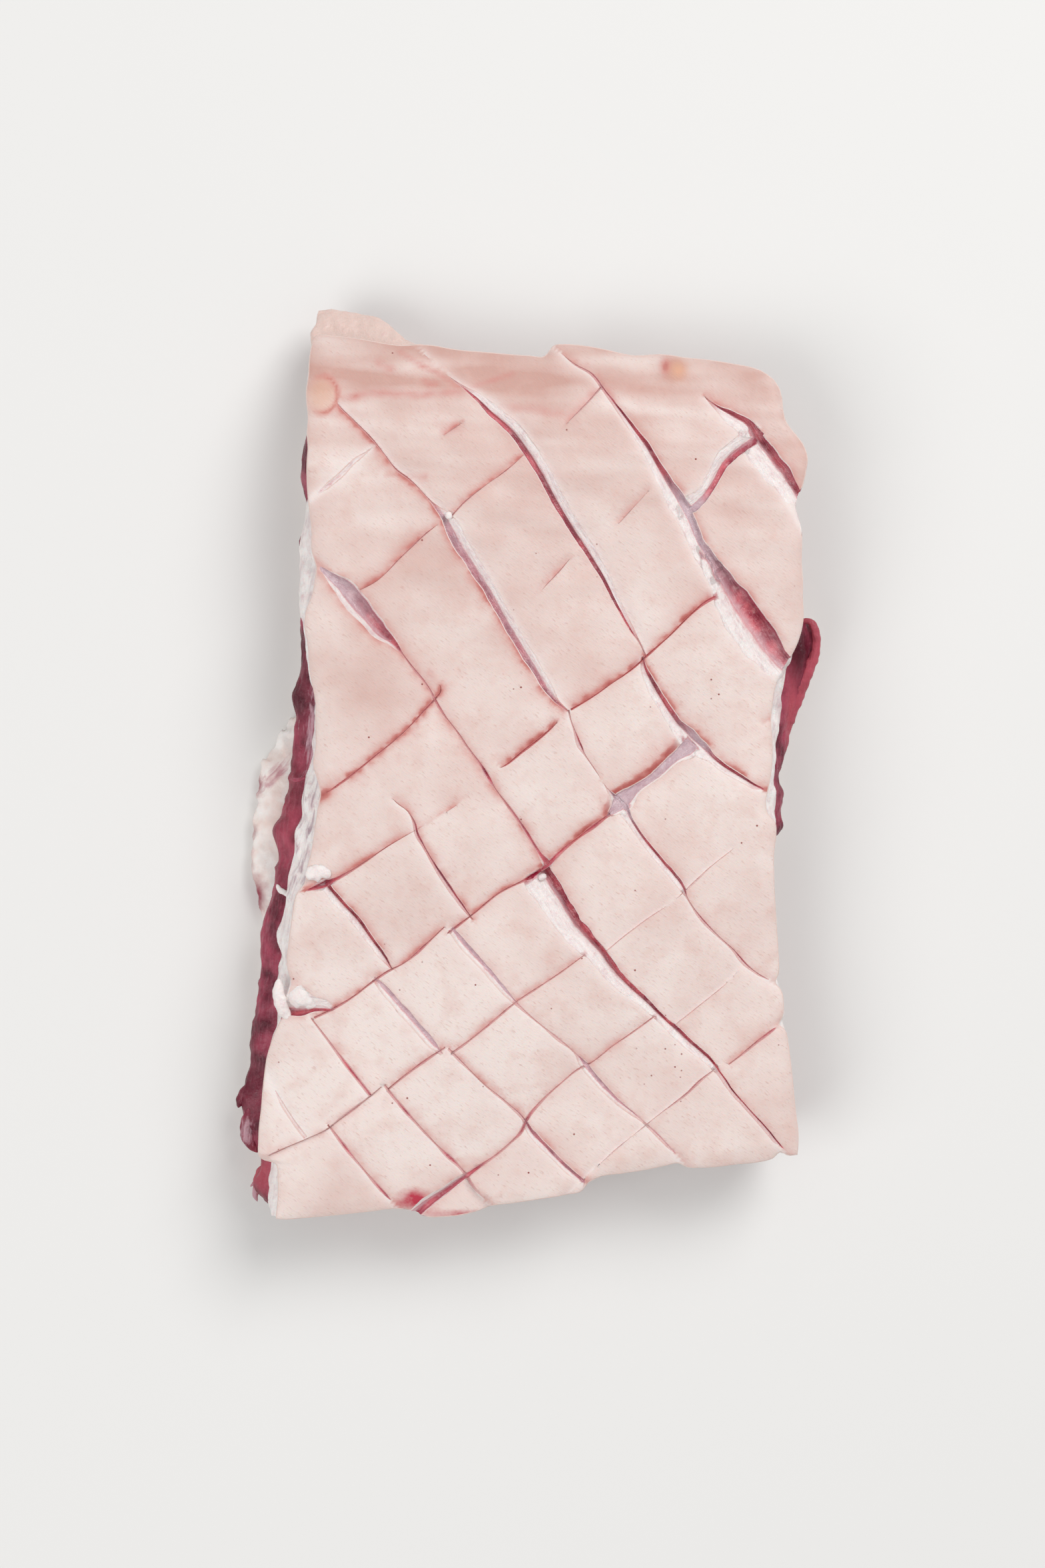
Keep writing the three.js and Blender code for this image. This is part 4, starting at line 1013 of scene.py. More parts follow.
print(lean_look.name, len(tree.nodes), "nodes")

# %% [markdown]
# ### Inner fat
# The fat on the inside of the belly is softer and creamier, with streaks of pink lean through it and
# dark red at its torn edge. It is greasy rather than wet, so its shine is broader.

# %% Inner fat, raw: creamy, greasy, streaked with pink
inner_look, tree, shader, place = new_finish("inner_fat_raw_marbled")
pink_here, dark = (
    node(tree, ATTRIBUTE, {"attribute_name": name}).outputs["Fac"] for name in ("pink", "dark"))
slant = node(tree, MAPPING, STRETCHED, Vector=place, Rotation=(0, 0, -0.8),
             Scale=(1.3 * MM, 6 * MM, 1.3 * MM))
streaks = node(tree, NOISE, Vector=slant, Scale=1.0, Detail=4.0, Distortion=0.5)
clouds = node(tree, NOISE, Vector=place, Scale=1000 / 7, Detail=4.0)
lobes = node(tree, NOISE, Vector=place, Scale=1000 / 2.6, Detail=4.0)
cream = node(tree, RANGE, Value=clouds, From_Min=0.35, From_Max=0.65)
streak = node(tree, MATH, TIMES_PLUS, in_0=streaks, in_1=0.9, in_2=pink_here)
streak = node(tree, RANGE, Value=streak, From_Min=0.62, From_Max=0.95, To_Max=0.85)
darkened = node(tree, MATH, TIMES_PLUS, in_0=lobes, in_1=0.6, in_2=dark)
darkened = node(tree, RANGE, Value=darkened, From_Min=0.4, From_Max=1.25)
tone = node(tree, MIX, COLOURS, in_0=cream, in_6=linear("#FFF9F5"), in_7=linear("#F2DED6"))
for share, colour in ((streak, "#C78892"), (darkened, "#97394D")):
    tone = node(tree, MIX, COLOURS, in_0=share, in_6=tone, in_7=linear(colour))
bump = node(tree, BUMP, Strength=0.4, Distance=0.8 * MM, Height=lobes)
fill(tree, shader, Base_Color=tone, Normal=bump, Roughness=0.38, Subsurface_Weight=0.12,
     Subsurface_Radius=(1.0, 0.5, 0.4), Subsurface_Scale=1.5 * MM)
print(inner_look.name, len(tree.nodes), "nodes")

# %% [markdown]
# ## Skin and fat
# The top layer is one closed block: a sheet of skin, a wall that is skin's edge and then fat, and an
# underside that lies on the lean. The knife strokes are then taken out of it.

# %% The uncut block
RIM_DROP = 1.2  # mm that the skin rolls down at its rim
RIM_ACROSS, RIM_ALONG = 6 / 160, 6 / 272  # the rim's width, as a share of the slab's
SKIN_EDGE = ((0.3, 0.28), (0.9, 0.38), (1.6, 0.2), (2.3, -0.05))  # mm down and out: 2.3 mm of skin
FAT_ROWS = 18  # rings from there to the lean
skin_sheet = sheet_of(SKIN)
u, v = np.linspace(0, 1, ACROSS + 1)[None], np.linspace(0, 1, ALONG + 1)[:, None]
inset = np.minimum(np.minimum(u, 1 - u) / RIM_ACROSS, np.minimum(v, 1 - v) / RIM_ALONG)
roll = RIM_DROP * np.maximum(0, 1 - inset) ** 2
top = np.concatenate([skin_sheet, (skin_height(*skin_sheet.transpose(2, 0, 1)) - roll)[..., None]], -1)
edge = np.concatenate([top[0, :-1], top[:-1, -1], top[-1, :0:-1], top[:0:-1, 0]])
reach, out = ring_of(FAT), outward(ring_of(SKIN))


def fat_bottom(x, y):
    """The fat's share of the slab's height, and a tenth of a millimetre clear of the lean."""
    return slab_height(x, y) * LEAN_TOP_SHARE + 0.1


rows = [edge]
for down, stand in SKIN_EDGE:
    rows.append(np.column_stack([edge[:, :2] + out * stand, edge[:, 2] - down]))
start, down_the_fat = rows[-1], np.linspace(0, 1, FAT_ROWS + 1)[1:]
for t in down_the_fat:
    xy = start[:, :2] + (reach - start[:, :2]) * smoothstep(t, -0.1, 0.85)
    z = start[:, 2] + (fat_bottom(*reach.T) - start[:, 2]) * t
    rows.append(np.column_stack([xy + out * 0.5 * np.sin(np.pi * t), z]))
wall = np.stack(rows)
fade = np.concatenate([np.zeros(1 + len(SKIN_EDGE)), np.sin(np.pi * down_the_fat) ** 0.7])[:, None]
uneven = 0.5 * lumps(wall, 9, 11, 24) + 0.28 * lumps(wall * (1, 0.5, 1.5), 2.8, 12, 24)
wall = pushed_out(wall, -fade * uneven)
underside = np.concatenate([wall[-1:], cap_rings(rows[-1][:, :2], fat_bottom)])
block = [(top, False, 0), (wall, True, 1), (underside, True, 1)]
cap = piece_from("scored_skin_and_fat", block, [skin, cut_fat])

# %% [markdown]
# ### Cutting it
# All blades go into one collection, and one Boolean modifier takes them out together. Its result is
# read back as the piece's own mesh, so that the next steps can work on the points of the cuts. Faces
# that a blade leaves carry its material, which is how the walls of the cuts come to be fat.

# %% Blades, and the cut itself
blades = bpy.data.collections.new("blades")
for name, stations in all_stations.items():
    blade = blade_from("blade_" + name, stations, cut_fat)
    scene.collection.objects.unlink(blade)
    blades.objects.link(blade)
scene.collection.children.link(blades)
cut = cap.modifiers.new("cut", "BOOLEAN")
cut.operation, cut.solver, cut.operand_type, cut.collection = "DIFFERENCE", "MANIFOLD", "COLLECTION", blades
depsgraph = bpy.context.evaluated_depsgraph_get()
scored = bpy.data.meshes.new_from_object(cap.evaluated_get(depsgraph), depsgraph=depsgraph)
cap.modifiers.clear()
cap.data = scored
scored.name = "scored_skin_and_fat"
for blade in list(blades.objects):
    bpy.data.objects.remove(blade)
bpy.data.collections.remove(blades)
print("scored:", len(scored.vertices), "points,", len(scored.polygons), "faces")

# %% [markdown]
# ## What the cuts do to the skin
# Cut skin draws back: its lip rolls down and flushes, more on one side of a cut than on the other.
# Each point looks for the nearest place on every stroke, and takes its roll, its flush and how deep
# it lies in the cut from there. The same distances colour the walls.


# %% Distances to the strokes
def nearest_on(st, xy):
    """For each point: how far it is to the left of the stroke, how far past its ends, the index of
    the nearest station and its place between stations, by projecting it on every stretch."""
    a, b = st["centre"][:-1], st["centre"][1:]
    run = b - a
    t = ((xy[:, None] - a) * run).sum(-1) / (run * run).sum(-1)
    t = np.clip(t, 0, 1)
    off = xy[:, None] - (a + t[..., None] * run)
    k = (off * off).sum(-1).argmin(1)
    rows = np.arange(len(xy))
    t, off = t[rows, k], off[rows, k]
    station = k + t
    near = np.minimum((station + 0.5).astype(int), len(st["centre"]) - 1)
    left = st["left"][near]
    across = (off * left).sum(-1)
    past = np.sqrt(np.maximum((off * off).sum(-1) - across**2, 0))
    return across, past, near, station


points = points_of(scored)
xy, x, y = points[:, :2], points[:, 0], points[:, 1]
depth_here = skin_height(x, y) - points[:, 2]
patchy = np.clip(0.85 + 0.4 * lumps(xy, 9, 71) + 0.3 * lumps(xy, 3.4, 72), 0.35, 1.3)  # of the flush
KEPT = ("drop", "lift", "flush", "pale", "cut", "blood", "wet", "tone", "way", "over", "steep")
here = {name: np.zeros(len(points)) for name in KEPT}
print("deepest point", round(depth_here[points[:, 2] > 20].max(), 1), "mm under the skin")

# %% [markdown]
# ### Lips and walls
# A lip drops most at the cut and evens out within a few millimetres: exp(-(distance / width)^2). Its
# flush has a sharp part and a broad part. Where two strokes meet, the stronger effect wins, and for
# the floor the stroke in which the point is wettest.

# %% What each point takes from the strokes
REACH = 16  # mm: further from a stroke nothing changes


def keep_larger(name, close, values):
    """Each of these points keeps what it has under this name, or the new value if that is larger."""
    here[name][close] = np.maximum(here[name][close], values)


for st in all_stations.values():
    low, high = st["centre"].min(0) - REACH, st["centre"].max(0) + REACH
    close = np.flatnonzero(((xy > low) & (xy < high)).all(1))
    across, past, near, station = nearest_on(st, xy[close])
    on_left, gap, made = across > 0, st["gap"][near], st["stroke"]
    roll, flush = np.where(on_left, *made["roll"]), np.where(on_left, *made["flush"])
    outside = np.abs(across) - np.where(on_left, st["half"][0][near], st["half"][1][near])
    within, outside = outside < 0.3, np.maximum(outside, 0)
    live = st["open"][near] * np.exp(-((past / 1.2) ** 2))
    keep_larger("drop", close, live * (roll * np.exp(-((outside / (1 + 1.4 * roll)) ** 2))
                                       + 0.15 * np.exp(-outside / 6)))
    here["lift"][close] += live * made["raised"] * np.where(on_left, 0.5, -0.5) * np.exp(-outside / 7)
    falloff = 0.62 * np.exp(-((outside / 1.4) ** 2)) + 0.36 * np.exp(-outside / 3)
    keep_larger("flush", close, np.minimum(live * flush * falloff * patchy[close], 0.95))
    # Pale is a painted highlight on lips that roll down and are not flushed.
    keep_larger("pale", close, live * (roll > 0.25) * (flush < 0.2) * 0.8 * np.exp(-outside / 1.3))
    share = depth_here[close] / np.maximum(st["depth"][near], 0.5)
    within = within * live * (share < 1.2)
    keep_larger("cut", close, within)
    blood = smoothstep(gap, 2.8, 1.2) * smoothstep(share, -0.5, 0.3) * (0.32 + 0.8 * max(made["flush"]))
    blood *= 1 - 0.7 * st["tone"][near]
    keep_larger("blood", close, within * np.clip(blood, 0, 1))
    mean_half = (st["half"][0] + st["half"][1])[near] / 2
    from_middle = across - 1.1 * made["floor"] * mean_half
    shown = np.clip(0.5 - np.where(from_middle > 0, 1, -1) * made["floor"], 0, 1)
    wet = smoothstep(share, 0.15 + 0.55 * shown, 0.5 + 0.45 * shown) * smoothstep(gap, 0.8, 2)
    wetter = within * (wet + 0.01) > here["wet"][close]
    to_steep = np.sign(made["floor"]) * from_middle / (made["flat"] * mean_half + 0.6)  # floor: -1 to 1
    for name, value in (("way", station * st["step"]), ("over", across), ("steep", to_steep),
                        ("wet", within * (wet + 0.01)), ("tone", st["tone"][near])):
        here[name][close] = np.where(wetter, value, here[name][close])
print("points in the cuts:", int((here["cut"] > 0.5).sum()))

# %% [markdown]
# ### Creases, and a tile that hangs
# Skin also creases without a cut. A crease is a groove along a path, with some redness in it. At the
# near edge two strokes free the corner of a tile, which sinks by itself.

# %% Creases and the sunk tile
# Each crease is (points, width in mm, depth in mm, redness).
CREASES = [
    ([(-60, 115), (-55, 116.4), (-50, 117.5), (-42, 117.3), (-35, 117), (-27, 117.6), (-20, 118)],
     1.4, 0.3, 0.42),
    ([(-47.5, 127.5), (-45, 126), (-43.6, 125.4)], 1.2, 0.1, 0.4),
    ([(-33, 121.6), (-31, 120.4), (-29.4, 120.6)], 1.2, 0.1, 0.4),
    ([(-41, 131), (-34, 126.6), (-28, 123.6), (-22, 119.6)], 0.9, 0.12, 0.4),
    ([(-31.6, 29), (-29.6, 26.6), (-28.8, 24), (-31, 21.4)], 1.5, -0.25, 0.28),
    ([(-18, 119.5), (-12, 121.6), (-5, 124)], 0.9, 0.25, 0.36),
    ([(-44, 92), (-38, 90.6), (-33, 90.8)], 1.2, 0.1, 0.4),
    ([(-12, 113), (0, 112.4), (12, 110.2)], 1.6, 0.05, 0.26),
]
TILE_SINKS = 2.6  # mm
beyond, short_of = nearest_on(all_stations["near_f"], xy)[0], nearest_on(all_stations["low_h"], xy)[0]
sunk = smoothstep(beyond, -1.2, 1.2) * smoothstep(-short_of, -0.5, 0.5) * (y < -125)
drop = here["drop"] + TILE_SINKS * sunk - np.clip(here["lift"], -1, 1)
drop *= np.exp(-np.maximum(depth_here, 0) / 5)
for path, width, fold, redness in CREASES:
    centre = smooth_path(path, 40)
    across, past = nearest_on({"centre": centre, "left": leftward(centre)}, xy)[:2]
    groove = np.exp(-(across**2 + past**2) / width**2) * (0.75 + 0.22 * lumps(xy, 6, 77))
    drop += fold * groove
    keep_larger("flush", slice(None), redness * groove)
points[:, 2] -= drop
scored.vertices.foreach_set("co", (points * MM).ravel())
print("skin moved by up to", round(np.abs(drop).max(), 2), "mm")

# %% [markdown]
# ### Stains, teats and pores
# The skin is warmer and darker towards the shoulder, where long stains run across it: partly its own
# warmer tone, partly painted shade where the shoulder rounds down away from the light. The large teat
# is an amber disc with a flushed ring, the small one is amber with red on its left side. Pores crowd in
# one tile, and two crimson blotches mark a bruise at the near edge.

# %% Numbers for the skin's finish
# Each blush is (x, y, half width, half length, strength), and a negative one is a paler place. The
# three along the far edge, at x -48, -4 and 72, are partly warmer skin and partly painted shade where
# the shoulder rounds down.
BLUSHES = [
    (-50, 30, 14, 20, 0.4), (-30, 62, 12, 12, 0.4), (-48, 126, 24, 7, 0.35), (-4, 123, 22, 6, 0.5),
    (-45, -95, 50, 40, -0.34), (46.5, 126, 3, 3, 0.9), (72, 122.5, 6, 3, 0.5),
    (-60, -137, 18, 8, 0.3), (-12, -131, 16, 6, 0.2), (20, -118, 20, 8, 0.1),
    (10, 40, 16, 14, 0.15), (66, 80, 14, 10, 0.12), (-10, 12, 14, 10, 0.15), (-60, 96, 10, 7, -0.2),
]
stains = lumps(xy * (0.45, 1.9), 22, 21) + 0.6 * lumps(xy * (0.35, 1.8), 9, 22)
# Warmer and darker towards the shoulder: partly the skin's own tone, partly painted shade where it rounds
# down away from the light.
warm_here = 0.1 + 0.3 * smoothstep(y, 30, 100) + 0.24 * smoothstep(y, 100, 130)
warm_here *= 0.75 + stains * (0.1 + 0.32 * smoothstep(y, 60, 110))
for cx, cy, wide, long, strength in BLUSHES:
    warm_here += strength * spot(x, y, cx, cy, wide, long)
from_teat = np.hypot(x - TEATS[0][0], (y - TEATS[0][1]) * 0.85)
amber_here = 0.5 * np.exp(-((from_teat / 4.5) ** 4)) + 0.9 * spot(x, y, 47.5, 125, 2.6, 3)
teat_ring = np.exp(-(((from_teat - 5) / 0.9) ** 2)) * smoothstep(x, -72, -62)
keep_larger("flush", slice(None), 0.55 * teat_ring)
# Red on the left side of the small teat.
keep_larger("flush", slice(None), 0.75 * spot(x, y, 43.6, 126.4, 1.6, 2.6))
pored_here = 0.02 + 0.7 * spot(x, y, 41, -95, 11, 9)
blotch_here = 1.15 * spot(x, y, -36.5, -138, 6, 3.6) + 0.9 * spot(x, y, -23, -143, 11, 1.8)
store(scored, flush=here["flush"], pale=here["pale"], warm=warm_here, blotch=blotch_here,
      pored=pored_here, amber=amber_here)

# %% [markdown]
# ### Numbers for the fat
# The skin's own edge shows as a band 2 mm wide round the slab, and thinner in a cut. The fat is
# streaked where the lean runs into it on the left, and painted a darker tan at the far left corner, a
# painted shade where that corner slopes away from the light. Edges sharper than 52 degrees stay crisp,
# such as the lips of the cuts; the rest is shaded smooth.

# %% Numbers for the fat's finish, and the finished piece
CRISP = 52  # degrees
# corner_here marks the far left corner, whose painted tan is painted shade.
corner_here = smoothstep(y, 128, 134) * smoothstep(-x, 28, 40)
left_side = smoothstep(-x, 60, 64) * smoothstep(y, -45, -38) * smoothstep(-y, -2, 6)
band_from, band_to = 1.9 - 1.87 * here["cut"], 2.4 - 2.2 * here["cut"]
rind_here = 1 - smoothstep(depth_here, band_from, band_to) * (1 - 0.75 * corner_here)
store(scored, wet=here["wet"], tone=here["tone"], blood=here["blood"], rind=rind_here,
      outer=1 - here["cut"], streaked=0.3 * (1 - corner_here) + 0.7 * left_side,
      way=here["way"], over=here["over"], tan=corner_here, steep=here["steep"])
scored.shade_smooth()
scored.set_sharp_from_angle(angle=np.radians(CRISP))
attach(cap, "root")
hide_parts("rind_and_fat")

# %% [markdown]
# ## Torn bits
# A knife never leaves cut meat quite clean: fat stands up in frills at the corners of the tiles, beads
# sit in the cuts, and shreds of lean and skin-thin membrane hang at the sides. Each is a lump drawn out
# along a short path, so one function makes them all.


# %% A lump drawn out along a path
STRAND_STEP, STRAND_ROUND = 0.45, 16  # mm between its rings, and the points of a ring


def strand(points, seed, uneven):
    """An ellipse carried along a path of (x, y, z, half width, half thickness). It swells from nothing
    and back, as the sixth-power rule sqrt(1 - (2t - 1)^6), and lumps make it uneven."""
    points = np.array(points, float)
    length = np.hypot(*np.diff(points[:, :2], axis=0).T).sum()
    path = smooth_path(points, max(10, int(length / STRAND_STEP)))
    t = np.linspace(-1, 1, len(path))
    full = np.sqrt(np.clip(1 - t**6, 0, 1))[:, None]
    angle = np.linspace(0, 2 * np.pi, STRAND_ROUND, endpoint=False)
    across, up = full * path[:, 3:4] * np.cos(angle), full * path[:, 4:5] * np.sin(angle)
    off = np.concatenate([leftward(path[:, :2])[:, None] * across[..., None], up[..., None]], -1)
    middle = path[:, None, :3]
    return middle + off * (1 + uneven * lumps(middle + off, 2.2, seed, 20))[..., None]


def strands_piece(name, strands, seed, uneven, material):
    """All strands of one kind as one piece, shaded smooth."""
    parts = [(strand(points, seed + k, uneven), True, 0) for k, points in enumerate(strands)]
    piece = piece_from(name, parts, [material])
    piece.data.shade_smooth()
    return piece


def on_skin(points, sink):
    """Points (x, y, half width, half thickness), each with the skin's height less sink put in."""
    return [(x, y, float(skin_height(np.array(x), np.array(y))) - sink, w, h) for x, y, w, h in points]


print("a bead 3 mm long has", len(strand([(0, 0, 0, 1, 1), (3, 0, 0, 1, 1)], 1, 0)), "rings")


# %% [markdown]
# ### Bits of fat
# From the left edge inwards: the frill where two strokes meet, a lump of fat that fills the widest
# gap and the flap of fat beside it, two beads that sit in cuts, and a small horn that stands out of
# the side. They are sunk into what carries them.

# %% Frills, beads and lumps of fat
FAT_BITS = [
    on_skin([(-70.2, -36, 1.4, 0.9), (-67.8, -34.4, 2.6, 1.3), (-65.2, -34, 2.4, 1.2),
             (-62.4, -35.6, 1, 0.7)], 0.7),
    on_skin([(-75.6, -71.4, 2.2, 1.6), (-73, -73, 3.8, 2.4), (-69.8, -74.6, 3, 2.2),
             (-66.4, -76.4, 1, 0.9)], 2.5),
    on_skin([(-79, -67.6, 0.9, 0.8), (-79.2, -71.5, 1.7, 1.4), (-78.4, -75.5, 2.1, 1.6),
             (-76.8, -79.2, 1.7, 1.3), (-75, -81.2, 0.8, 0.7)], 1.6),
    on_skin([(3, -35.8, 0.9, 0.8), (4.4, -35.6, 1.2, 1), (5.6, -34.8, 0.7, 0.6)], 1.6),
    on_skin([(-25.9, 79.6, 0.8, 0.7), (-25.2, 78.4, 1.1, 0.9), (-24.4, 77.4, 0.7, 0.6)], 0.3),
    [(-80.6, -38.2, 19.4, 0.6, 0.5), (-79.6, -39.8, 20.2, 0.9, 0.7), (-77.6, -41, 21.8, 0.9, 0.7),
     (-75.9, -41.8, 23, 0.9, 0.7), (-74.6, -40.8, 24, 0.8, 0.6), (-73.8, -38.8, 25, 0.5, 0.4)],
]
bits = strands_piece("fat_bits", FAT_BITS, 300, 0.13, cut_fat)
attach(bits, "root")

# %% [markdown]
# ## A block whose side shows
# The lean and the inner fat are thick blocks whose top and underside are hidden. What shows is their
# cut side. So one function makes both: its wall gets the points and the unevenness, and its hidden
# sheets only a few rings.


# %% A wall that slopes from one outline out to another
BLOCK_ROWS = 28  # rings from the top of a wall to its foot


def sloping_block(name, inner_ring, reach, top_of, bottom_of, widest, material, seed, rough, folds):
    """Rings from the upper outline out to the reach, which it meets at the share widest of its
    height, and back in by a quarter of that below. Lumps and folds(x, y) push the wall out and in."""
    steps = np.linspace(0, 1, BLOCK_ROWS)
    grown = np.where(steps < widest, np.sin(np.pi / 2 * np.minimum(steps / widest, 1)),
                     1 - 0.25 * ((steps - widest) / (1 - widest)) ** 2)
    rows = []
    for t, out in zip(steps, grown):
        xy = inner_ring + (reach - inner_ring) * out
        rows.append(np.column_stack([xy, top_of(*inner_ring.T) * (1 - t) + bottom_of(*reach.T) * t]))
    wall = np.stack(rows)
    uneven = 0.6 * lumps(wall * (1, 0.7, 1), 9, seed, 24)
    uneven = uneven + 0.4 * lumps(wall * (1, 0.6, 2), 2.6, seed + 1, 24)
    shaped = rough * uneven + folds(wall[..., 0], wall[..., 1])
    wall = pushed_out(wall, -np.sin(np.pi * steps)[:, None] ** 0.6 * shaped)
    lid = np.concatenate([wall[:1], cap_rings(wall[0, :, :2], top_of)])[::-1]
    base = np.concatenate([wall[-1:], cap_rings(wall[-1, :, :2], bottom_of)])
    piece = piece_from(name, [(lid, True, 0), (wall, True, 0), (base, True, 0)], [material])
    piece.data.shade_smooth()
    return piece


print("a block's wall has", BLOCK_ROWS, "rings of", len(ring_of(LEAN)), "points")


# %% [markdown]
# ## Lean
# Along the left the lean slopes out from under the fat, and on the right one fold of it hangs out,
# hollow in the middle and thick at its rim. Where it meets the fat on the left a film covers it. All
# other sides get the thin white seams of fat that a cut belly shows.

# %% The lean block
def lean_top(x, y):
    """Where the fat ends, and a tenth of a millimetre clear of it."""
    return slab_height(x, y) * LEAN_TOP_SHARE - 0.1


def lean_bottom(x, y):
    """Where the inner fat begins, and a tenth of a millimetre clear of it."""
    return slab_height(x, y) * INNER_FAT_SHARE + 0.1


def lean_folds(x, y):
    """The hollow, the rim and the tail of the fold on the right, and three creases on the left."""
    right = -2.4 * spot(x, y, 86.2, 37, 2.2, 6.5) + 1.3 * spot(x, y, 90.5, 38, 1.2, 8)
    right = right + 0.8 * spot(x, y, 84, 15, 1.5, 12)
    left = -1.1 * spot(x, y, -72, -4, 6, 0.9) - 0.8 * spot(x, y, -78, -33, 6, 1)
    return right + left - 0.9 * spot(x, y, -84, -70, 5, 1.2)


fat_ring = ring_of(FAT) - outward(ring_of(FAT)) * 0.8
lean_piece = sloping_block("lean", fat_ring, ring_of(LEAN), lean_top, lean_bottom, 0.6, lean_look, 31,
                           0.7, lean_folds)
p = points_of(lean_piece.data)
x, y, level = p[:, 0], p[:, 1], p[:, 2] / slab_height(*p[:, :2].T)
shows_left = smoothstep(-x, 62, 68) * (1 - smoothstep(np.abs(y), 130, 142))
hidden_side = np.clip(1 - shows_left - 1.7 * spot(x, y, 84, 16, 9, 34), 0, 1)
wave = lumps(p, 16, 35)
top_seam = smoothstep(level, 0.575 + 0.03 * wave, 0.6 + 0.03 * wave)
thin_seam = np.exp(-(((level - 0.43 - 0.04 * wave) / 0.016) ** 2)) * smoothstep(lumps(p, 30, 37), -0.2, 0.4)
near_fat = 0.6 * smoothstep(level, 0.5, 0.58) * (0.3 + 0.7 * spot(x, y, -70, 10, 8, 18))
store(
    lean_piece.data,
    seam=0.3 * lumps(p * (1, 0.4, 2.5), 7, 33) + 0.5 * spot(x, y, -83.6, -73, 0.8, 4.5)
    - 0.5 * spot(x, y, 88, 34, 6, 20) + hidden_side * np.maximum(top_seam, thin_seam),
    film=near_fat * (1 - hidden_side) * (x < 0) + 0.75 * spot(x, y, -91.4, -117, 3.4, 6),
    # The spot at (86.4, 36) is painted shade in the hollow of the right fold.
    dark=np.clip(0.55 * smoothstep(-level, -0.44, -0.3) + 0.95 * spot(x, y, 86.4, 36, 3.2, 10)
                 + 0.6 * spot(x, y, -90, -102, 6, 14) + 0.6 * spot(x, y, -74, 26, 5, 12), 0, 0.95),
    # The spot at (84.5, 15) lightens the fold's tail: partly paler lean, partly a painted highlight on its
    # bulge.
    light=np.clip(0.8 * spot(x, y, 84.5, 15, 2, 12) + 0.25 * spot(x, y, -77, -14, 6, 20)
                  + 0.6 * spot(x, y, -85, -131, 4, 7), 0, 1),
)
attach(lean_piece, "root")
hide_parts("lean_layer")

# %% [markdown]
# ### Bits of lean
# The rim of the right fold is a thick strand that turns back on itself. At the near left the lean is
# torn: a lobe, a pouch of film, two wisps that hang from it, and a small fold under the fat further up.

# %% Shreds of lean and membrane
LEAN_BITS = {
    "rim": [(86.6, 43.4, 18, 0.7, 0.8), (87.8, 45.6, 18.4, 1.1, 1), (90, 45.8, 18.4, 1.3, 1.1),
            (91.6, 43.6, 18.2, 1.4, 1.2), (92.3, 40, 17.8, 1.4, 1.2), (91.9, 35.8, 17.4, 1.5, 1.3),
            (90, 31, 17, 1.9, 1.5), (88, 26.4, 16.6, 2.2, 1.6), (86.2, 21.6, 16.2, 2.2, 1.6),
            (83.6, 16, 15.8, 2.4, 1.5), (80.6, 9.6, 15.4, 2.6, 1.4), (78.2, 3, 15, 2, 1.2)],
    "lobe": [(-89.4, -102.1, 14, 0.7, 0.6), (-91.4, -105.2, 13.6, 1.4, 1.2), (-92.8, -108.4, 13, 1.4, 1.2),
             (-93.4, -110.4, 13, 0.6, 0.6)],
    "pouch": [(-89.4, -109.8, 15.4, 0.9, 0.6), (-90.4, -113.9, 14.4, 1.8, 1.2),
              (-90.6, -118, 13.6, 2.2, 1.2), (-89.2, -121.9, 12.6, 1.9, 1), (-86.9, -124.8, 12, 1, 0.6)],
    "wisp": [(-84.8, -128.6, 12, 1.2, 0.8), (-86.6, -132.4, 10.6, 1.8, 0.8), (-87.8, -136.2, 8.8, 1.2, 0.6),
             (-88.2, -139.4, 7.4, 0.9, 0.5), (-87.6, -141.2, 6.8, 0.4, 0.3)],
    "thin_wisp": [(-87, -133.6, 10, 0.9, 0.5), (-88.8, -135.2, 9, 0.5, 0.4), (-89.8, -136.2, 8.6, 0.25, 0.2)],
    "fold": [(-76.2, -4.4, 21.2, 0.4, 0.4), (-74.4, -4.9, 23, 0.7, 0.6), (-72.6, -4.6, 24.6, 0.6, 0.5),
             (-71, -4.2, 26, 0.4, 0.4)],
}
shreds = strands_piece("lean_bits", LEAN_BITS.values(), 320, 0.1, lean_look)
x, y, _ = points_of(shreds.data).T
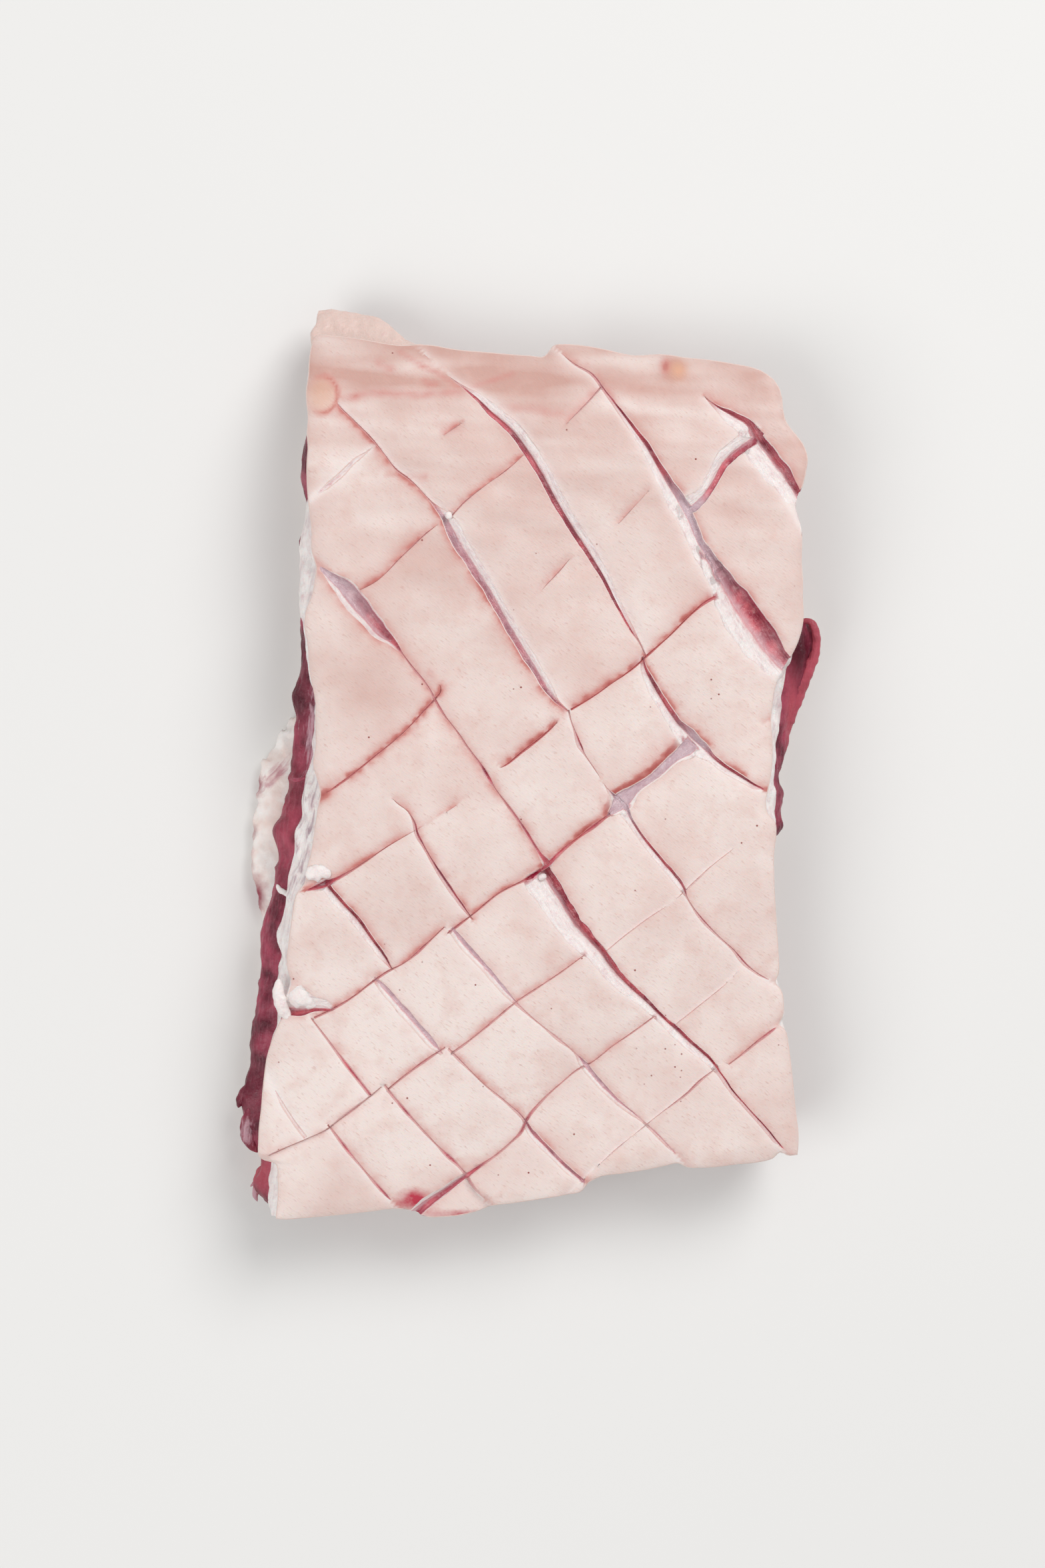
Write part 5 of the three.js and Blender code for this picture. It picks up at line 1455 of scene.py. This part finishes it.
store(
    shreds.data,
    film=0.75 * spot(x, y, -90.4, -118, 3, 6) + 0.8 * spot(x, y, -89.4, -140, 3, 7),
    # The rim on the right is lighter: partly its own paler red edge, partly a painted highlight along its
    # rounded top.
    light=0.6 * smoothstep(x, 70, 80) + 0.8 * spot(x, y, -86, -132, 5, 9), seam=np.zeros(len(x)),
    dark=0.3 * spot(x, y, -92, -106, 3, 5),
)
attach(shreds, "root")

# %% [markdown]
# ## Inner fat
# The slab lies on this layer, so its underside is flat, and along the left it comes out as a pale,
# marbled flap with a lobed edge: two round lobes at its far end, a crease between each lobe and the
# next, and dark red where it was torn off.

# %% The inner fat block
def inner_folds(x, y):
    """Swellings at the lobes and narrow hollows between them."""
    lobes = 1.2 * spot(x, y, -77.8, 13, 2.6, 1.8) + 1.4 * spot(x, y, -82, 5.6, 3.4, 3)
    lobes = lobes + 0.8 * spot(x, y, -86, -28, 3, 7)
    lobes = lobes - 1.4 * spot(x, y, -78, 10.2, 4, 0.7) - 1.1 * spot(x, y, -85, 0.4, 4, 0.8)
    return lobes - spot(x, y, -86, -10, 4, 1)


def inner_top(x, y):
    """Where the lean ends, and a tenth of a millimetre clear of it."""
    return slab_height(x, y) * INNER_FAT_SHARE - 0.1


def table(x, y):
    """The flat underside, at height nothing."""
    return 0 * x


lean_ring = ring_of(LEAN) - outward(ring_of(LEAN)) * 1.6
inner_piece = sloping_block("inner_fat_flap", lean_ring, ring_of(INNER_FAT), inner_top, table, 0.55,
                            inner_look, 41, 1.0, inner_folds)
p = points_of(inner_piece.data)
x, y = p[:, 0], p[:, 1]
along_streak = (x + 82) * 0.7 + (y + 3.6) * 0.7  # a pink streak lies slantwise over the flap
across_streak = (y + 3.6) * 0.7 - (x + 82) * 0.7
store(
    inner_piece.data,
    pink=0.5 * spot(along_streak, across_streak, 0, 0, 7.5, 2.8) + 0.05 * lumps(p, 18, 43),
    dark=spot(x, y, -88, -6.4, 2, 3.6) + spot(x, y, -87.6, -43, 2.6, 6.5)
    + 0.6 * spot(x, y, -89, -21.5, 1.6, 2) + 0.35 * spot(x, y, -90, -30, 1.4, 9),
)
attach(inner_piece, "root")
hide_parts("inner_fat")
